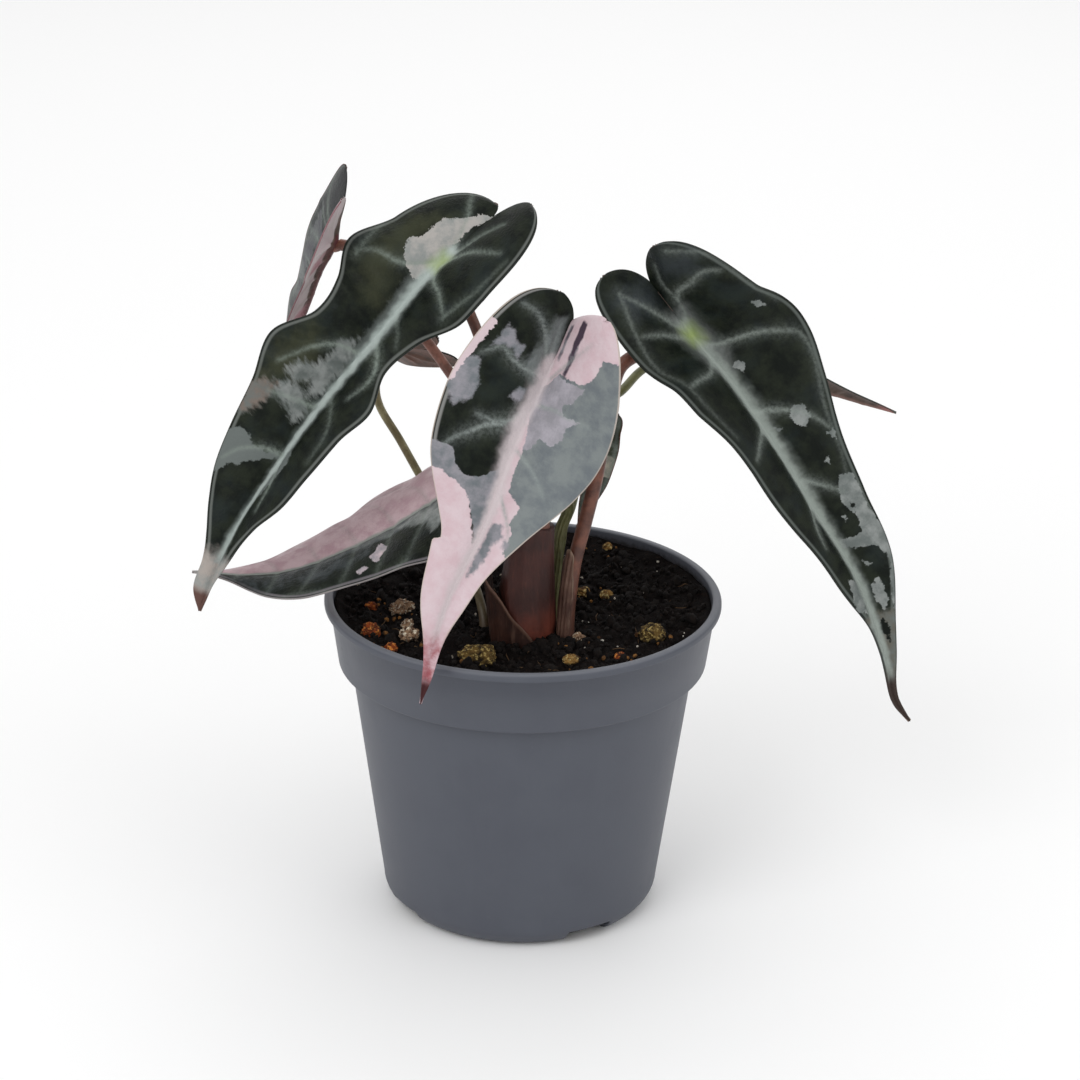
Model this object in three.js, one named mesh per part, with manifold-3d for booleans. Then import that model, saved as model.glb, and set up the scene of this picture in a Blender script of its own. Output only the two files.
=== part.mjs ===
// Potted alocasia: a moulded nursery pot filled with soil, a short sheathed stem base, and eight
// arrow-shaped leaves, each a thin blade on a petiole of its own.
// Millimetres, +Z up, the front towards -Y. The origin is the pot's axis at the height of its feet.
import * as THREE from "three";
import { mergeVertices } from "three/addons/utils/BufferGeometryUtils.js";
import Module from "manifold-3d";

const wasm = await Module();
wasm.setup();

const clearance = 0.3; // between pieces that touch

const pot = {
  height: 99,
  rimRadius: 60,
  rimInner: 57.2,
  rimDepth: 2.7,
  collarTopRadius: 58.2,
  collarFootRadius: 55.9,
  collarFoot: 79.5,
  shoulder: 77.8,
  shoulderRadius: 52,
  bodyFootRadius: 42.4,
  footRadius: 7.1,
  wall: 1.2,
  ringInner: 29.5,
  recess: 1.6,
  centreRadius: 12,
  drains: 4,
  drainRadius: 4,
  drainCircle: 20.5,
  notches: 4,
  notchWidth: 15,
  notchHeight: 2.8,
  notchAzimuth: -59,
  facets: 40,
  footSteps: 4,
};

const soil = { edgeLevel: 95, middleLevel: 93, roughness: 0.55, rings: [10, 19, 28, 37, 46] };

const stem = {
  axis: [
    [-0.5, -18.3, 84.3],
    [0, -18, 93],
    [0.7, -17.5, 104],
    [1.5, -16.5, 118],
    [2, -16, 128],
  ],
  radii: [7, 9, 8.2, 7.3, 6.7],
  facets: 16,
  spacing: 9,
};

const petiole = { facets: 8, spacing: 8 };

const blade = {
  thickness: 0.7,
  lobeFullness: 2.4,
  sinusRoundness: 1.5,
  halfQuads: 4,
  foldRows: 3,
  lobeRows: 4,
};

// Each rib runs from the heel over the joint to the tip. Half widths and tilts are spread evenly
// along it, widths from the joint and tilts from the heel. heading is the compass bearing that the
// right half points to, and lobe holds each side's length behind the joint, in heel lengths, and
// the distance of its end from the rib's line.
const leaves = {
  left: {
    rib: [
      [-2, 14, 219],
      [-25, 6, 201],
      [-43, -3, 182],
      [-62, -12, 161],
      [-79, -20, 137],
      [-88, -25, 121],
      [-95, -30, 105],
    ],
    heading: 0,
    half: {
      left: [21.4, 25.1, 19.7, 18.4, 24, 19.7, 17.3, 14.9, 11, 7.3, 4.8, 4.1, 0],
      right: [26.1, 23.3, 13.9, 12.1, 19.7, 17.1, 16.4, 17.1, 11.3, 6, 4.2, 1.2, 0],
    },
    tilt: { left: [-50, 9.8, -5.7, 2.5], right: [55.9, 35.2, 58.7, 58.4] },
    lobe: { left: [0.7, 2.9], right: [1, 8.8] },
    sinus: 0.54,
    arch: 0.07,
    wave: 0.8,
    waves: 4,
    rows: 18,
    colour: 0x26302b,
    petiole: {
      route: [
        [1.1, -20.3, 122],
        [1.6, -18.5, 135],
        [0, -14, 148],
        [-5, -8, 162],
        [-11, -3, 174],
        [-15, 0, 184],
        [-19, 3, 192],
      ],
      radii: [1.7, 1.6],
      colour: 0x6b4a40,
    },
  },
  front: {
    rib: [
      [16, -22, 200],
      [6, -30, 178],
      [-3, -40, 159],
      [-12, -49, 138],
      [-21, -56, 121],
      [-26, -60, 105],
      [-29, -63, 91],
    ],
    heading: 0,
    half: {
      left: [26.3, 26.1, 23.4, 15.2, 11.1, 7.7, 3.3, 1, 0],
      right: [28.4, 26.3, 21.3, 13.4, 8.1, 5.8, 3, 1.9, 0],
    },
    tilt: { left: [38.3, 13, 3.7, 12.3], right: [66.9, 13.3, 37.7, 25.7] },
    lobe: { left: [0.9, 8.9], right: [0.8, 19.3] },
    sinus: 0.6,
    arch: 0.07,
    wave: 0.8,
    waves: 3.5,
    rows: 16,
    colour: 0xb9a5ab,
    petiole: {
      route: [
        [5.8, -18.2, 122],
        [5.6, -17, 135],
        [8, -16.5, 148],
        [10, -18, 158],
        [12, -22, 171],
      ],
      radii: [1.7, 1.6],
      colour: 0x7a5348,
    },
  },
  right: {
    rib: [
      [30, 6, 204],
      [49, 0, 181],
      [61, -6, 168],
      [74, -11, 150],
      [86, -16, 132],
      [98, -20, 114],
      [107, -23, 92],
      [111, -25, 77],
      [116, -26, 70],
    ],
    heading: 0,
    half: {
      left: [23, 24.5, 20.6, 18.2, 14.6, 10.9, 2.5, 1.9, 1, 0],
      right: [26.8, 28.5, 24.5, 18.9, 16.1, 13, 6.2, 2.1, 1, 0],
    },
    tilt: { left: [32, 58.8, 55, 48.6], right: [49.2, -10.8, -1.6, 14.1] },
    lobe: { left: [1, 12.3], right: [0.9, 11.5] },
    sinus: 0.54,
    arch: 0.07,
    wave: 0.8,
    waves: 4,
    rows: 18,
    colour: 0x252e2b,
    petiole: {
      route: [
        [12.6, -19.6, 88],
        [12.9, -18.9, 97],
        [15, -15, 115],
        [18, -12, 127],
        [21, -10, 140],
        [25, -5, 163],
        [28, -3, 173],
        [36, 0, 177],
      ],
      radii: [2.2, 2],
      colour: 0x7d4a40,
    },
  },
  low: {
    rib: [
      [-8, -13, 147],
      [-21, -11.5, 137],
      [-28, -11, 132],
      [-43, -11, 122],
      [-65, -12, 112],
      [-81, -14, 110],
      [-98, -16, 112],
    ],
    heading: -90,
    half: {
      left: [22, 25.5, 26.7, 27.4, 19.4, 17.1, 8, 5.2, 0],
      right: [22, 26.9, 27.4, 22.8, 18.2, 17.9, 11.6, 3.9, 0],
    },
    tilt: { left: [-11.1, 2.1, 5.2, -9.9], right: [-12.8, -13.1, -10.9, -7.2] },
    lobe: { left: [1, 10], right: [1, 10] },
    sinus: 0.5,
    arch: 0.07,
    wave: 0.8,
    waves: 4,
    rows: 16,
    colour: 0x8d7a80,
    petiole: {
      route: [
        [-2.4, -16.5, 122],
        [-4.2, -16.4, 129],
        [-8.5, -15, 132.5],
        [-14, -13, 133.5],
      ],
      radii: [1.6, 1.5],
      colour: 0x6b4a40,
    },
  },
  upper: {
    rib: [
      [-51, 6, 223],
      [-57, 12, 205],
      [-62, 22, 193],
      [-67, 36, 177],
      [-72, 50, 163],
      [-76, 60, 153],
    ],
    heading: -90,
    half: {
      left: [17.3, 15.8, 11.5, 10.2, 11.6, 7, 0],
      right: [15.2, 9.8, 13.8, 13.2, 9, 5, 0],
    },
    tilt: { left: [16.5, 28.3, 26.8, 23.1], right: [17.3, 17.4, 19.3, 20] },
    lobe: { left: [1, 11], right: [0.9, 4.1] },
    sinus: 0.3,
    arch: 0.05,
    wave: 0,
    waves: 1,
    rows: 12,
    colour: 0x3a413e,
    petiole: {
      route: [
        [0.2, -12, 122],
        [-0.3, -9.5, 136],
        [-3, -5, 148],
        [-9, -2, 155],
        [-17, 0.5, 162],
        [-28, 4, 176],
        [-42, 8, 193],
        [-51, 11.5, 203],
      ],
      radii: [1.75, 1.4],
      colour: 0x7a6058,
    },
  },
  rear: {
    rib: [
      [-23, 14, 171],
      [-41, 24, 169],
      [-53, 40, 166],
      [-64, 58, 160],
      [-71, 70, 152],
    ],
    heading: -130,
    half: { left: [13, 14, 12, 8, 4, 0], right: [13, 14, 12, 8, 4, 0] },
    tilt: { left: [-40, -40, -30, -10], right: [50, 50, 40, 20] },
    lobe: { left: [1, 7], right: [0.9, 7] },
    sinus: 0.5,
    arch: 0.05,
    wave: 0,
    waves: 1,
    rows: 10,
    colour: 0x5d564e,
    petiole: {
      route: [
        [-11.2, -14.2, 88],
        [-11.8, -12, 97],
        [-15.5, -3, 106],
        [-22, 11, 115],
        [-27, 18, 121],
        [-32, 21, 129],
        [-38, 22, 140],
        [-44, 21.5, 151],
        [-45, 20, 158],
        [-43.5, 20.5, 164.5],
      ],
      radii: [1.3, 1.2],
      colour: 0x8f8f5a,
    },
  },
  side: {
    rib: [
      [34, 26, 177],
      [50, 28, 170],
      [72, 38, 159],
      [96, 46, 148],
      [116, 52, 140],
    ],
    heading: 112,
    half: { left: [14, 15, 13, 8, 4, 0], right: [14, 15, 12, 6, 3, 0] },
    tilt: { left: [28, 28, 30, 25], right: [-19, -19, -19, -19] },
    lobe: { left: [1, 6], right: [1, 6] },
    sinus: 0.5,
    arch: 0.05,
    wave: 0,
    waves: 1,
    rows: 10,
    colour: 0x4d423d,
    petiole: {
      route: [
        [9.3, -10.2, 88],
        [9.2, -8.4, 104],
        [11.6, -7, 123.6],
        [13.9, -6, 129.9],
        [17.2, -4, 147],
        [21.2, -1, 160.1],
        [28, 4, 162.4],
        [34, 12, 166],
        [42, 19, 169],
      ],
      radii: [1.4, 1.2],
      colour: 0x8f8f5a,
    },
  },
  young: {
    rib: [
      [25.2, 3, 156.5],
      [23.5, 3, 151.4],
      [22.4, 4, 144],
      [20.8, 4, 136],
      [19.1, 3, 129.3],
      [16, 1, 120.1],
    ],
    heading: 0,
    half: { left: [5, 5, 4.2, 3, 2.2, 0], right: [5.2, 5.6, 5.2, 4.4, 2.6, 0] },
    tilt: { left: [10, 10, 10, 10], right: [10, 10, 10, 10] },
    lobe: { left: [1, 2.4], right: [1, 2.4] },
    sinus: 0.5,
    arch: 0.05,
    wave: 0,
    waves: 1,
    rows: 8,
    colour: 0x39422c,
    petiole: {
      route: [
        [5.3, -13.1, 122],
        [6.2, -11.5, 129],
        [9, -6, 134],
        [14, 4, 139],
        [20, 8.5, 146],
      ],
      radii: [1.1, 1],
      colour: 0x7d8350,
    },
  },
};

// Loose pieces on the soil: where they lie, how long they are, and what they are.
const grains = {
  lava_front_left: { at: [-44.9, -22.2], length: 6.4, kind: "lava" },
  lava_left: { at: [-45.8, -2], length: 5, kind: "lava" },
  lava_mossy: { at: [-38.5, -33.6], length: 4.8, kind: "lava" },
  pumice_pink: { at: [-36.3, -3.2], length: 6.8, kind: "pumice" },
  pumice_white: { at: [-34.5, -14], length: 5, kind: "pumice" },
  pumice_low: { at: [-33.6, -23.8], length: 5.8, kind: "pumice" },
  bark_front: { at: [-12.6, -38.7], length: 11, kind: "bark" },
  feed_rear: { at: [26.5, 45.5], length: 4.6, kind: "feed" },
  feed_middle: { at: [18.2, 13], length: 4.8, kind: "feed" },
  feed_side: { at: [25.6, 10.9], length: 5.2, kind: "feed" },
  pumice_small: { at: [16.5, -21.5], length: 4.4, kind: "pumice" },
  feed_front: { at: [14.2, -40.1], length: 4.8, kind: "feed" },
  bark_right: { at: [38.3, -22.1], length: 8.4, kind: "bark" },
  lava_right: { at: [28.8, -37.5], length: 4.2, kind: "lava" },
};

// Widths and heights as shares of the length, and how far each kind's middle lies above the soil.
const grainShape = {
  coarseBelow: 5.5,
  bumps: 0.11,
  width: 0.86,
  height: 0.74,
  rise: { lava: 0.2, pumice: 0.2, bark: 0.12, feed: 0.2 },
};

const finishes = {
  pot: { color: 0x5b6470, roughness: 0.55 },
  soil: { color: 0x1d1713, roughness: 1 },
  stem: { color: 0x4a211d, roughness: 0.6 },
  lava: { color: 0x9a5326, roughness: 0.95 },
  pumice: { color: 0xc9b7a6, roughness: 0.95 },
  bark: { color: 0x8f6a38, roughness: 0.95 },
  feed: { color: 0xa98a45, roughness: 0.7 },
};

// Catmull-Rom through evenly spaced numbers with the end ones repeated; at runs from 0 to 1.
function along(values, at) {
  const last = values.length - 1;
  const position = THREE.MathUtils.clamp(at, 0, 1) * last;
  const i = Math.min(Math.floor(position), last - 1);
  const f = position - i;
  const a = values[Math.max(i - 1, 0)];
  const b = values[i];
  const c = values[i + 1];
  const d = values[Math.min(i + 2, last)];
  const quadratic = 2 * a - 5 * b + 4 * c - d;
  const cubic = 3 * b - a - 3 * c + d;
  return 0.5 * (2 * b + (c - a) * f + quadratic * f ** 2 + cubic * f ** 3);
}

function alongRoute(route, at) {
  const axis = (k) => along(route.map((point) => point[k]), at);
  return new THREE.Vector3(axis(0), axis(1), axis(2));
}

// A closed geometry as a solid, with its coincident vertices merged.
function toSolid(geometry) {
  const bare = geometry.clone();
  bare.deleteAttribute("normal");
  bare.deleteAttribute("uv");
  const merged = mergeVertices(bare, 1e-4);
  const index = merged.index.array;
  const triVerts = [];
  for (let i = 0; i < index.length; i += 3) {
    const corners = [index[i], index[i + 1], index[i + 2]];
    if (new Set(corners).size === 3) triVerts.push(...corners);
  }
  const vertProperties = new Float32Array(merged.attributes.position.array);
  return new wasm.Manifold(
    new wasm.Mesh({ numProp: 3, vertProperties, triVerts: new Uint32Array(triVerts) }),
  );
}

function toGeometry(solid) {
  const mesh = solid.getMesh();
  const geometry = new THREE.BufferGeometry();
  geometry.setAttribute("position", new THREE.BufferAttribute(mesh.vertProperties, 3));
  geometry.setIndex(new THREE.BufferAttribute(mesh.triVerts, 1));
  geometry.computeVertexNormals();
  return geometry;
}

function indexedGeometry(vertices, triangles) {
  const geometry = new THREE.BufferGeometry().setFromPoints(vertices);
  geometry.setIndex(triangles);
  return geometry;
}

// The largest body of a solid that a cut has left in several.
function largestBody(solid) {
  const bodies = solid.decompose();
  return bodies.reduce((best, body) => (body.volume() > best.volume() ? body : best));
}

// A profile of [radius, height] pairs turned round the Z axis.
function turned(profile) {
  const points = profile.map(([radius, height]) => new THREE.Vector2(radius, height));
  return new THREE.LatheGeometry(points, pot.facets).rotateX(Math.PI / 2);
}

// Points of a round stretch of a profile, as [radius, height] pairs.
function arc(centreRadius, centreHeight, radius, fromDegrees, toDegrees, steps) {
  return Array.from({ length: steps + 1 }, (_, i) => {
    const angle = THREE.MathUtils.degToRad(fromDegrees + ((toDegrees - fromDegrees) * i) / steps);
    return [centreRadius + radius * Math.cos(angle), centreHeight + radius * Math.sin(angle)];
  });
}

const footCentre = pot.bodyFootRadius - pot.footRadius;

// The wall's inside from the ring round the base up to the lip.
const potInside = [
  ...arc(footCentre, pot.footRadius, pot.footRadius - pot.wall, -90, 0, pot.footSteps),
  [pot.shoulderRadius - pot.wall, pot.shoulder - 0.3],
  [pot.collarFootRadius - pot.wall + 0.2, pot.collarFoot + 0.6],
  [pot.rimInner - 0.2, pot.height - pot.rimDepth],
];

function potSolid() {
  const base = pot.recess + pot.wall;
  const rim = pot.height - pot.rimDepth;
  const outside = [
    [0, 0],
    [pot.centreRadius, 0],
    [pot.centreRadius + 1.5, pot.recess],
    [pot.ringInner - 1.5, pot.recess],
    [pot.ringInner, 0],
    ...arc(footCentre, pot.footRadius, pot.footRadius, -90, 0, pot.footSteps),
    [pot.shoulderRadius, pot.shoulder],
    [pot.collarFootRadius - 0.5, pot.collarFoot - 0.7],
    [pot.collarFootRadius, pot.collarFoot],
    [pot.collarTopRadius, rim - 0.2],
    [pot.rimRadius - 0.4, rim + 0.1],
    [pot.rimRadius, rim + 0.7],
    [pot.rimRadius - 0.3, pot.height - 0.6],
    [pot.rimRadius - 1, pot.height],
    [pot.rimInner + 0.5, pot.height],
    [pot.rimInner, pot.height - 0.5],
  ];
  const inside = [
    ...potInside.slice().reverse(),
    [pot.ringInner + 0.7, pot.wall],
    [pot.ringInner - 0.8, base],
    [pot.centreRadius + 0.8, base],
    [pot.centreRadius - 0.7, pot.wall],
    [0, pot.wall],
  ];
  let solid = toSolid(turned([...outside, ...inside]));
  for (let i = 0; i < pot.drains; i += 1) {
    const angle = ((i + 0.5) / pot.drains) * 2 * Math.PI;
    const drain = new THREE.CylinderGeometry(pot.drainRadius, pot.drainRadius, 4 * base, 16);
    drain.rotateX(Math.PI / 2).translate(pot.drainCircle, 0, 0).rotateZ(angle);
    solid = solid.subtract(toSolid(drain));
  }
  for (let i = 0; i < pot.notches; i += 1) {
    const angle = THREE.MathUtils.degToRad(pot.notchAzimuth) + (i / pot.notches) * 2 * Math.PI;
    const reach = [pot.ringInner + 1.5, pot.bodyFootRadius + 1];
    const notch = new THREE.BoxGeometry(reach[1] - reach[0], pot.notchWidth, 2 * pot.notchHeight);
    notch.translate((reach[0] + reach[1]) / 2, 0, 0).rotateZ(angle);
    solid = solid.subtract(toSolid(notch));
  }
  return solid;
}

// The height of the soil's surface, a shallow dish with lumps.
function soilLevel(x, y) {
  const dish = (Math.hypot(x, y) / pot.rimInner) ** 2;
  const lumps = Math.sin(0.31 * x + 1) * Math.cos(0.27 * y) + 0.6 * Math.sin(0.53 * y + 0.17 * x);
  return soil.middleLevel + (soil.edgeLevel - soil.middleLevel) * dish + soil.roughness * lumps;
}

function soilSolid() {
  const [slopeLow, slopeHigh] = potInside.slice(-2);
  const rise = (soil.edgeLevel - slopeLow[1]) / (slopeHigh[1] - slopeLow[1]);
  const edgeRadius = THREE.MathUtils.lerp(slopeLow[0], slopeHigh[0], rise);
  const wall = [...potInside.slice(2, -1), [edgeRadius, soil.edgeLevel - clearance]];
  const side = wall.map(([radius, height]) => [radius - clearance, height + clearance]);
  side[0][1] = pot.recess + pot.wall + clearance;
  const rings = soil.rings.slice().reverse().map((radius) => [radius, soil.edgeLevel]);
  const geometry = turned([[0, side[0][1]], ...side, ...rings, [0, soil.edgeLevel]]);
  const place = geometry.attributes.position;
  for (let i = 0; i < place.count; i += 1) {
    const atTop = place.getZ(i) > soil.edgeLevel - 0.01;
    if (atTop) place.setZ(i, soilLevel(place.getX(i), place.getY(i)));
  }
  return toSolid(geometry);
}

// A closed tube along a route, its radii spread evenly from one end to the other. extra makes it
// that much wider all round and longer at its foot, as the hole that the tube stands in.
function tube(route, radii, facets, spacing, extra = 0) {
  const curve = new THREE.CatmullRomCurve3(route.map((point) => new THREE.Vector3(...point)));
  const steps = Math.ceil(curve.getLength() / spacing);
  const frames = curve.computeFrenetFrames(steps);
  const vertices = [];
  const triangles = [];
  for (let i = 0; i <= steps; i += 1) {
    const centre = curve.getPointAt(i / steps);
    if (i === 0) centre.addScaledVector(frames.tangents[0], -extra);
    const radius = along(radii, i / steps) + extra;
    for (let j = 0; j < facets; j += 1) {
      const angle = (j / facets) * 2 * Math.PI;
      const spoke = frames.normals[i].clone().multiplyScalar(Math.cos(angle) * radius);
      spoke.addScaledVector(frames.binormals[i], Math.sin(angle) * radius);
      vertices.push(spoke.add(centre));
    }
  }
  const foot = curve.getPointAt(0).addScaledVector(frames.tangents[0], -extra);
  const firstCap = vertices.push(foot) - 1;
  const lastCap = vertices.push(curve.getPointAt(1)) - 1;
  for (let j = 0; j < facets; j += 1) {
    const next = (j + 1) % facets;
    triangles.push(firstCap, next, j, lastCap, steps * facets + j, steps * facets + next);
    for (let i = 0; i < steps; i += 1) {
      const [a, b] = [i * facets + j, i * facets + next];
      triangles.push(a, b, b + facets, a, b + facets, a + facets);
    }
  }
  return toSolid(indexedGeometry(vertices, triangles));
}

// A point of a blade. at is in rib segments, 0 at the heel and 1 at the joint; out is 0 on the rib
// or on the sinus and 1 on the margin.
function bladePoint(leaf, side, at, out) {
  const segments = leaf.rib.length - 1;
  const whole = at / segments;
  const sign = side === "right" ? 1 : -1;
  const nib = 2e-3;
  const centre = alongRoute(leaf.rib, whole);
  const ahead = alongRoute(leaf.rib, Math.min(whole + nib, 1));
  const behind = alongRoute(leaf.rib, Math.min(whole, 1 - nib));
  const run = ahead.sub(behind).normalize();
  const bearing = THREE.MathUtils.degToRad(leaf.heading);
  const across = new THREE.Vector3(Math.cos(bearing), Math.sin(bearing), 0);
  across.addScaledVector(run, -run.dot(across)).normalize();
  const face = run.clone().cross(across);

  const back = Math.max(1 - at, 0);
  const [lobeLength, lobeEnd] = leaf.lobe[side];
  const widths = leaf.half[side];
  const lobeWidth = Math.sqrt(Math.max(1 - (back / lobeLength) ** blade.lobeFullness, 0));
  const opening = THREE.MathUtils.clamp((back - leaf.sinus) / (lobeLength - leaf.sinus), 0, 1);
  const inner = lobeEnd * (1 - Math.sqrt(Math.max(1 - opening ** blade.sinusRoundness, 0)));
  const lobeOuter = lobeEnd + (widths[0] - lobeEnd) * lobeWidth;
  const outer = back > 0 ? lobeOuter : along(widths, (at - 1) / (segments - 1));

  const tilt = THREE.MathUtils.degToRad(along(leaf.tilt[side], whole));
  const [level, steep] = [Math.cos(tilt), Math.sin(tilt)];
  const outwards = across.clone().multiplyScalar(sign * level).addScaledVector(face, steep);
  const upwards = face.clone().multiplyScalar(level).addScaledVector(across, -sign * steep);
  const bulge = leaf.arch * outer * Math.sin(Math.PI * out);
  const phase = side === "right" ? 0.5 : 0;
  const ripple = leaf.wave * out ** 2 * Math.sin(2 * Math.PI * (leaf.waves * whole + phase));
  centre.addScaledVector(outwards, inner + (outer - inner) * out);
  return centre.addScaledVector(upwards, bulge + ripple);
}

// The rows of one half from its lobe's end to the tip, as places along the rib in segments.
function bladeRows(leaf, side) {
  const [lobeLength] = leaf.lobe[side];
  const segments = leaf.rib.length - 1;
  const rows = [];
  for (let i = blade.lobeRows; i > 0; i -= 1) {
    const turn = Math.sin((Math.PI / 2) * (i / blade.lobeRows));
    rows.push(1 - leaf.sinus - (lobeLength - leaf.sinus) * turn);
  }
  for (let i = blade.foldRows; i > 0; i -= 1) rows.push(1 - (leaf.sinus * i) / blade.foldRows);
  for (let i = 0; i <= leaf.rows; i += 1) rows.push(1 + ((segments - 1) * i) / leaf.rows);
  return rows;
}

// A blade's middle surface: both halves share the rib from the sinus to the tip.
function bladeSheet(leaf) {
  const vertices = [];
  const triangles = [];
  const shared = new Map();
  for (const side of ["left", "right"]) {
    const rows = bladeRows(leaf, side);
    const grid = rows.map((at, row) => {
      const isPole = row === 0 || row === rows.length - 1;
      const line = [];
      for (let j = 0; j <= blade.halfQuads; j += 1) {
        const onRib = (j === 0 || isPole) && row >= blade.lobeRows;
        if (onRib && shared.has(at)) line.push(shared.get(at));
        else if (isPole && j > 0) line.push(line[0]);
        else line.push(vertices.push(bladePoint(leaf, side, at, j / blade.halfQuads)) - 1);
        if (onRib) shared.set(at, line[j]);
      }
      return line;
    });
    for (let row = 0; row < grid.length - 1; row += 1) {
      for (let j = 0; j < blade.halfQuads; j += 1) {
        const corners = [grid[row][j], grid[row + 1][j], grid[row + 1][j + 1], grid[row][j + 1]];
        for (const [a, b, c] of [[0, 1, 2], [0, 2, 3]]) {
          const triangle = [corners[a], corners[b], corners[c]];
          if (side === "left") triangle.reverse();
          if (new Set(triangle).size === 3) triangles.push(triangle);
        }
      }
    }
  }
  return { vertices, triangles };
}

// A sheet given the same thickness to both sides, with its rim closed.
function thickened(sheet, thickness) {
  const { vertices, triangles } = sheet;
  const middle = indexedGeometry(vertices, triangles.flat());
  middle.computeVertexNormals();
  const normal = (i) => new THREE.Vector3().fromBufferAttribute(middle.attributes.normal, i);
  const faceAt = (offset) => vertices.map((vertex, i) => normal(i).multiplyScalar(offset).add(vertex));
  const closed = [...triangles];
  const edges = new Set(triangles.flatMap(([a, b, c]) => [`${a} ${b}`, `${b} ${c}`, `${c} ${a}`]));
  const under = vertices.length;
  for (const [a, b, c] of triangles) closed.push([c + under, b + under, a + under]);
  for (const edge of edges) {
    const [a, b] = edge.split(" ").map(Number);
    if (!edges.has(`${b} ${a}`)) closed.push([b, a, a + under], [b, a + under, b + under]);
  }
  const both = [...faceAt(thickness / 2), ...faceAt(-thickness / 2)];
  return toSolid(indexedGeometry(both, closed.flat()));
}

// A blade, and its petiole cut off just under it.
function leafSolids(leaf) {
  const sheet = bladeSheet(leaf);
  const room = thickened(sheet, blade.thickness + 2 * clearance);
  const joint = leaf.rib[1];
  const route = [...leaf.petiole.route, joint];
  const whole = (extra) => tube(route, leaf.petiole.radii, petiole.facets, petiole.spacing, extra);
  return {
    blade: thickened(sheet, blade.thickness),
    petiole: largestBody(whole(0).subtract(room)),
    hole: whole(clearance),
  };
}

const stemSolid = (extra) => tube(stem.axis, stem.radii, stem.facets, stem.spacing, extra);

function grainSolid(name, extra) {
  const { at, length, kind } = grains[name];
  const seed = at[0] * 1.7 + at[1] * 2.3;
  const detail = length > grainShape.coarseBelow ? 1 : 0;
  const geometry = new THREE.IcosahedronGeometry(length / 2 + extra, detail);
  const place = geometry.attributes.position;
  const corner = new THREE.Vector3();
  for (let i = 0; i < place.count; i += 1) {
    const { x, y, z } = corner.fromBufferAttribute(place, i).normalize();
    const bump = Math.sin(5 * x + seed) * Math.cos(4 * y - seed) + Math.sin(6 * z + 2 * seed);
    corner.fromBufferAttribute(place, i).multiplyScalar(1 + grainShape.bumps * bump);
    place.setXYZ(i, corner.x, corner.y * grainShape.width, corner.z * grainShape.height);
  }
  geometry.rotateZ(seed);
  const rise = length * grainShape.rise[kind];
  geometry.translate(at[0], at[1], soilLevel(at[0], at[1]) + rise);
  return toSolid(geometry);
}

const group = new THREE.Group();
group.name = "potted_alocasia";

function addPart(name, solid, { color, roughness }) {
  const material = new THREE.MeshStandardMaterial({ color, roughness, metalness: 0, flatShading: true });
  const mesh = new THREE.Mesh(toGeometry(solid), material);
  mesh.name = name;
  group.add(mesh);
}

const built = Object.entries(leaves).map(([name, leaf]) => ({ name, leaf, ...leafSolids(leaf) }));
const grainNames = Object.keys(grains);

let stemBase = stemSolid(0);
let soilBlock = soilSolid().subtract(stemSolid(clearance));
for (const { hole, leaf } of built) {
  const fromSoil = leaf.petiole.route[0][2] < soil.middleLevel;
  if (fromSoil) soilBlock = soilBlock.subtract(hole);
  else stemBase = stemBase.subtract(hole);
}
for (const name of grainNames) soilBlock = soilBlock.subtract(grainSolid(name, clearance));

addPart("pot", potSolid(), finishes.pot);
addPart("soil", largestBody(soilBlock), finishes.soil);
addPart("stem_base", largestBody(stemBase), finishes.stem);
for (const { name, leaf, ...solids } of built) {
  addPart(`${name}_leaf_blade`, solids.blade, { color: leaf.colour, roughness: 0.42 });
  addPart(`${name}_leaf_petiole`, solids.petiole, { color: leaf.petiole.colour, roughness: 0.5 });
}
for (const name of grainNames) addPart(`grain_${name}`, grainSolid(name, 0), finishes[grains[name].kind]);

export default group;
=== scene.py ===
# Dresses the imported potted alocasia: a satin nursery pot, loose peat with grains and fibres, a
# sheathed stem and eight variegated leaves. The leaf and petiole figures are the part's own, in
# millimetres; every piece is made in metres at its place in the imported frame.
import math
import random

import bmesh
import bpy
import numpy as np
from mathutils import Matrix, Vector
from mathutils import noise as fractal


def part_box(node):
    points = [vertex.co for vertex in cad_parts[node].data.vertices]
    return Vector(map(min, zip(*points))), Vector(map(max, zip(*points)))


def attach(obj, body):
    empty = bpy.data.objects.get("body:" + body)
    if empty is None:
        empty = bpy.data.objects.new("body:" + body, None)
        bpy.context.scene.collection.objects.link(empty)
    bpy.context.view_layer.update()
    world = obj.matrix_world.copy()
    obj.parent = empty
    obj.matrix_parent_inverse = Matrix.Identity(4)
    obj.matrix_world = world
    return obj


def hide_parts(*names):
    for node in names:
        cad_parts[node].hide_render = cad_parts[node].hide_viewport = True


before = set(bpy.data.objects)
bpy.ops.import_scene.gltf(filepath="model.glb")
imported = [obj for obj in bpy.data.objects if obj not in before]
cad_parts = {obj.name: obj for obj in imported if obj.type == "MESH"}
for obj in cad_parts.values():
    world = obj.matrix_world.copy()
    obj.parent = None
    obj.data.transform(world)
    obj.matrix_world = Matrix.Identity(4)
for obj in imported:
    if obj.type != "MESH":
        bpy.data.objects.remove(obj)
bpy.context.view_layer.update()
mm = 0.001
print("frame loaded:", len(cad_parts), "nodes")


# camera, floor and light

camera = {
    "distance": 1000,
    "elevation": 25.13,
    "aimHeight": 60,
    "yaw": 0.31,
    "pitch": 22.13,
    "roll": 0.76,
    "lens": 108.57,
    "sensor": 36,
}


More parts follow.
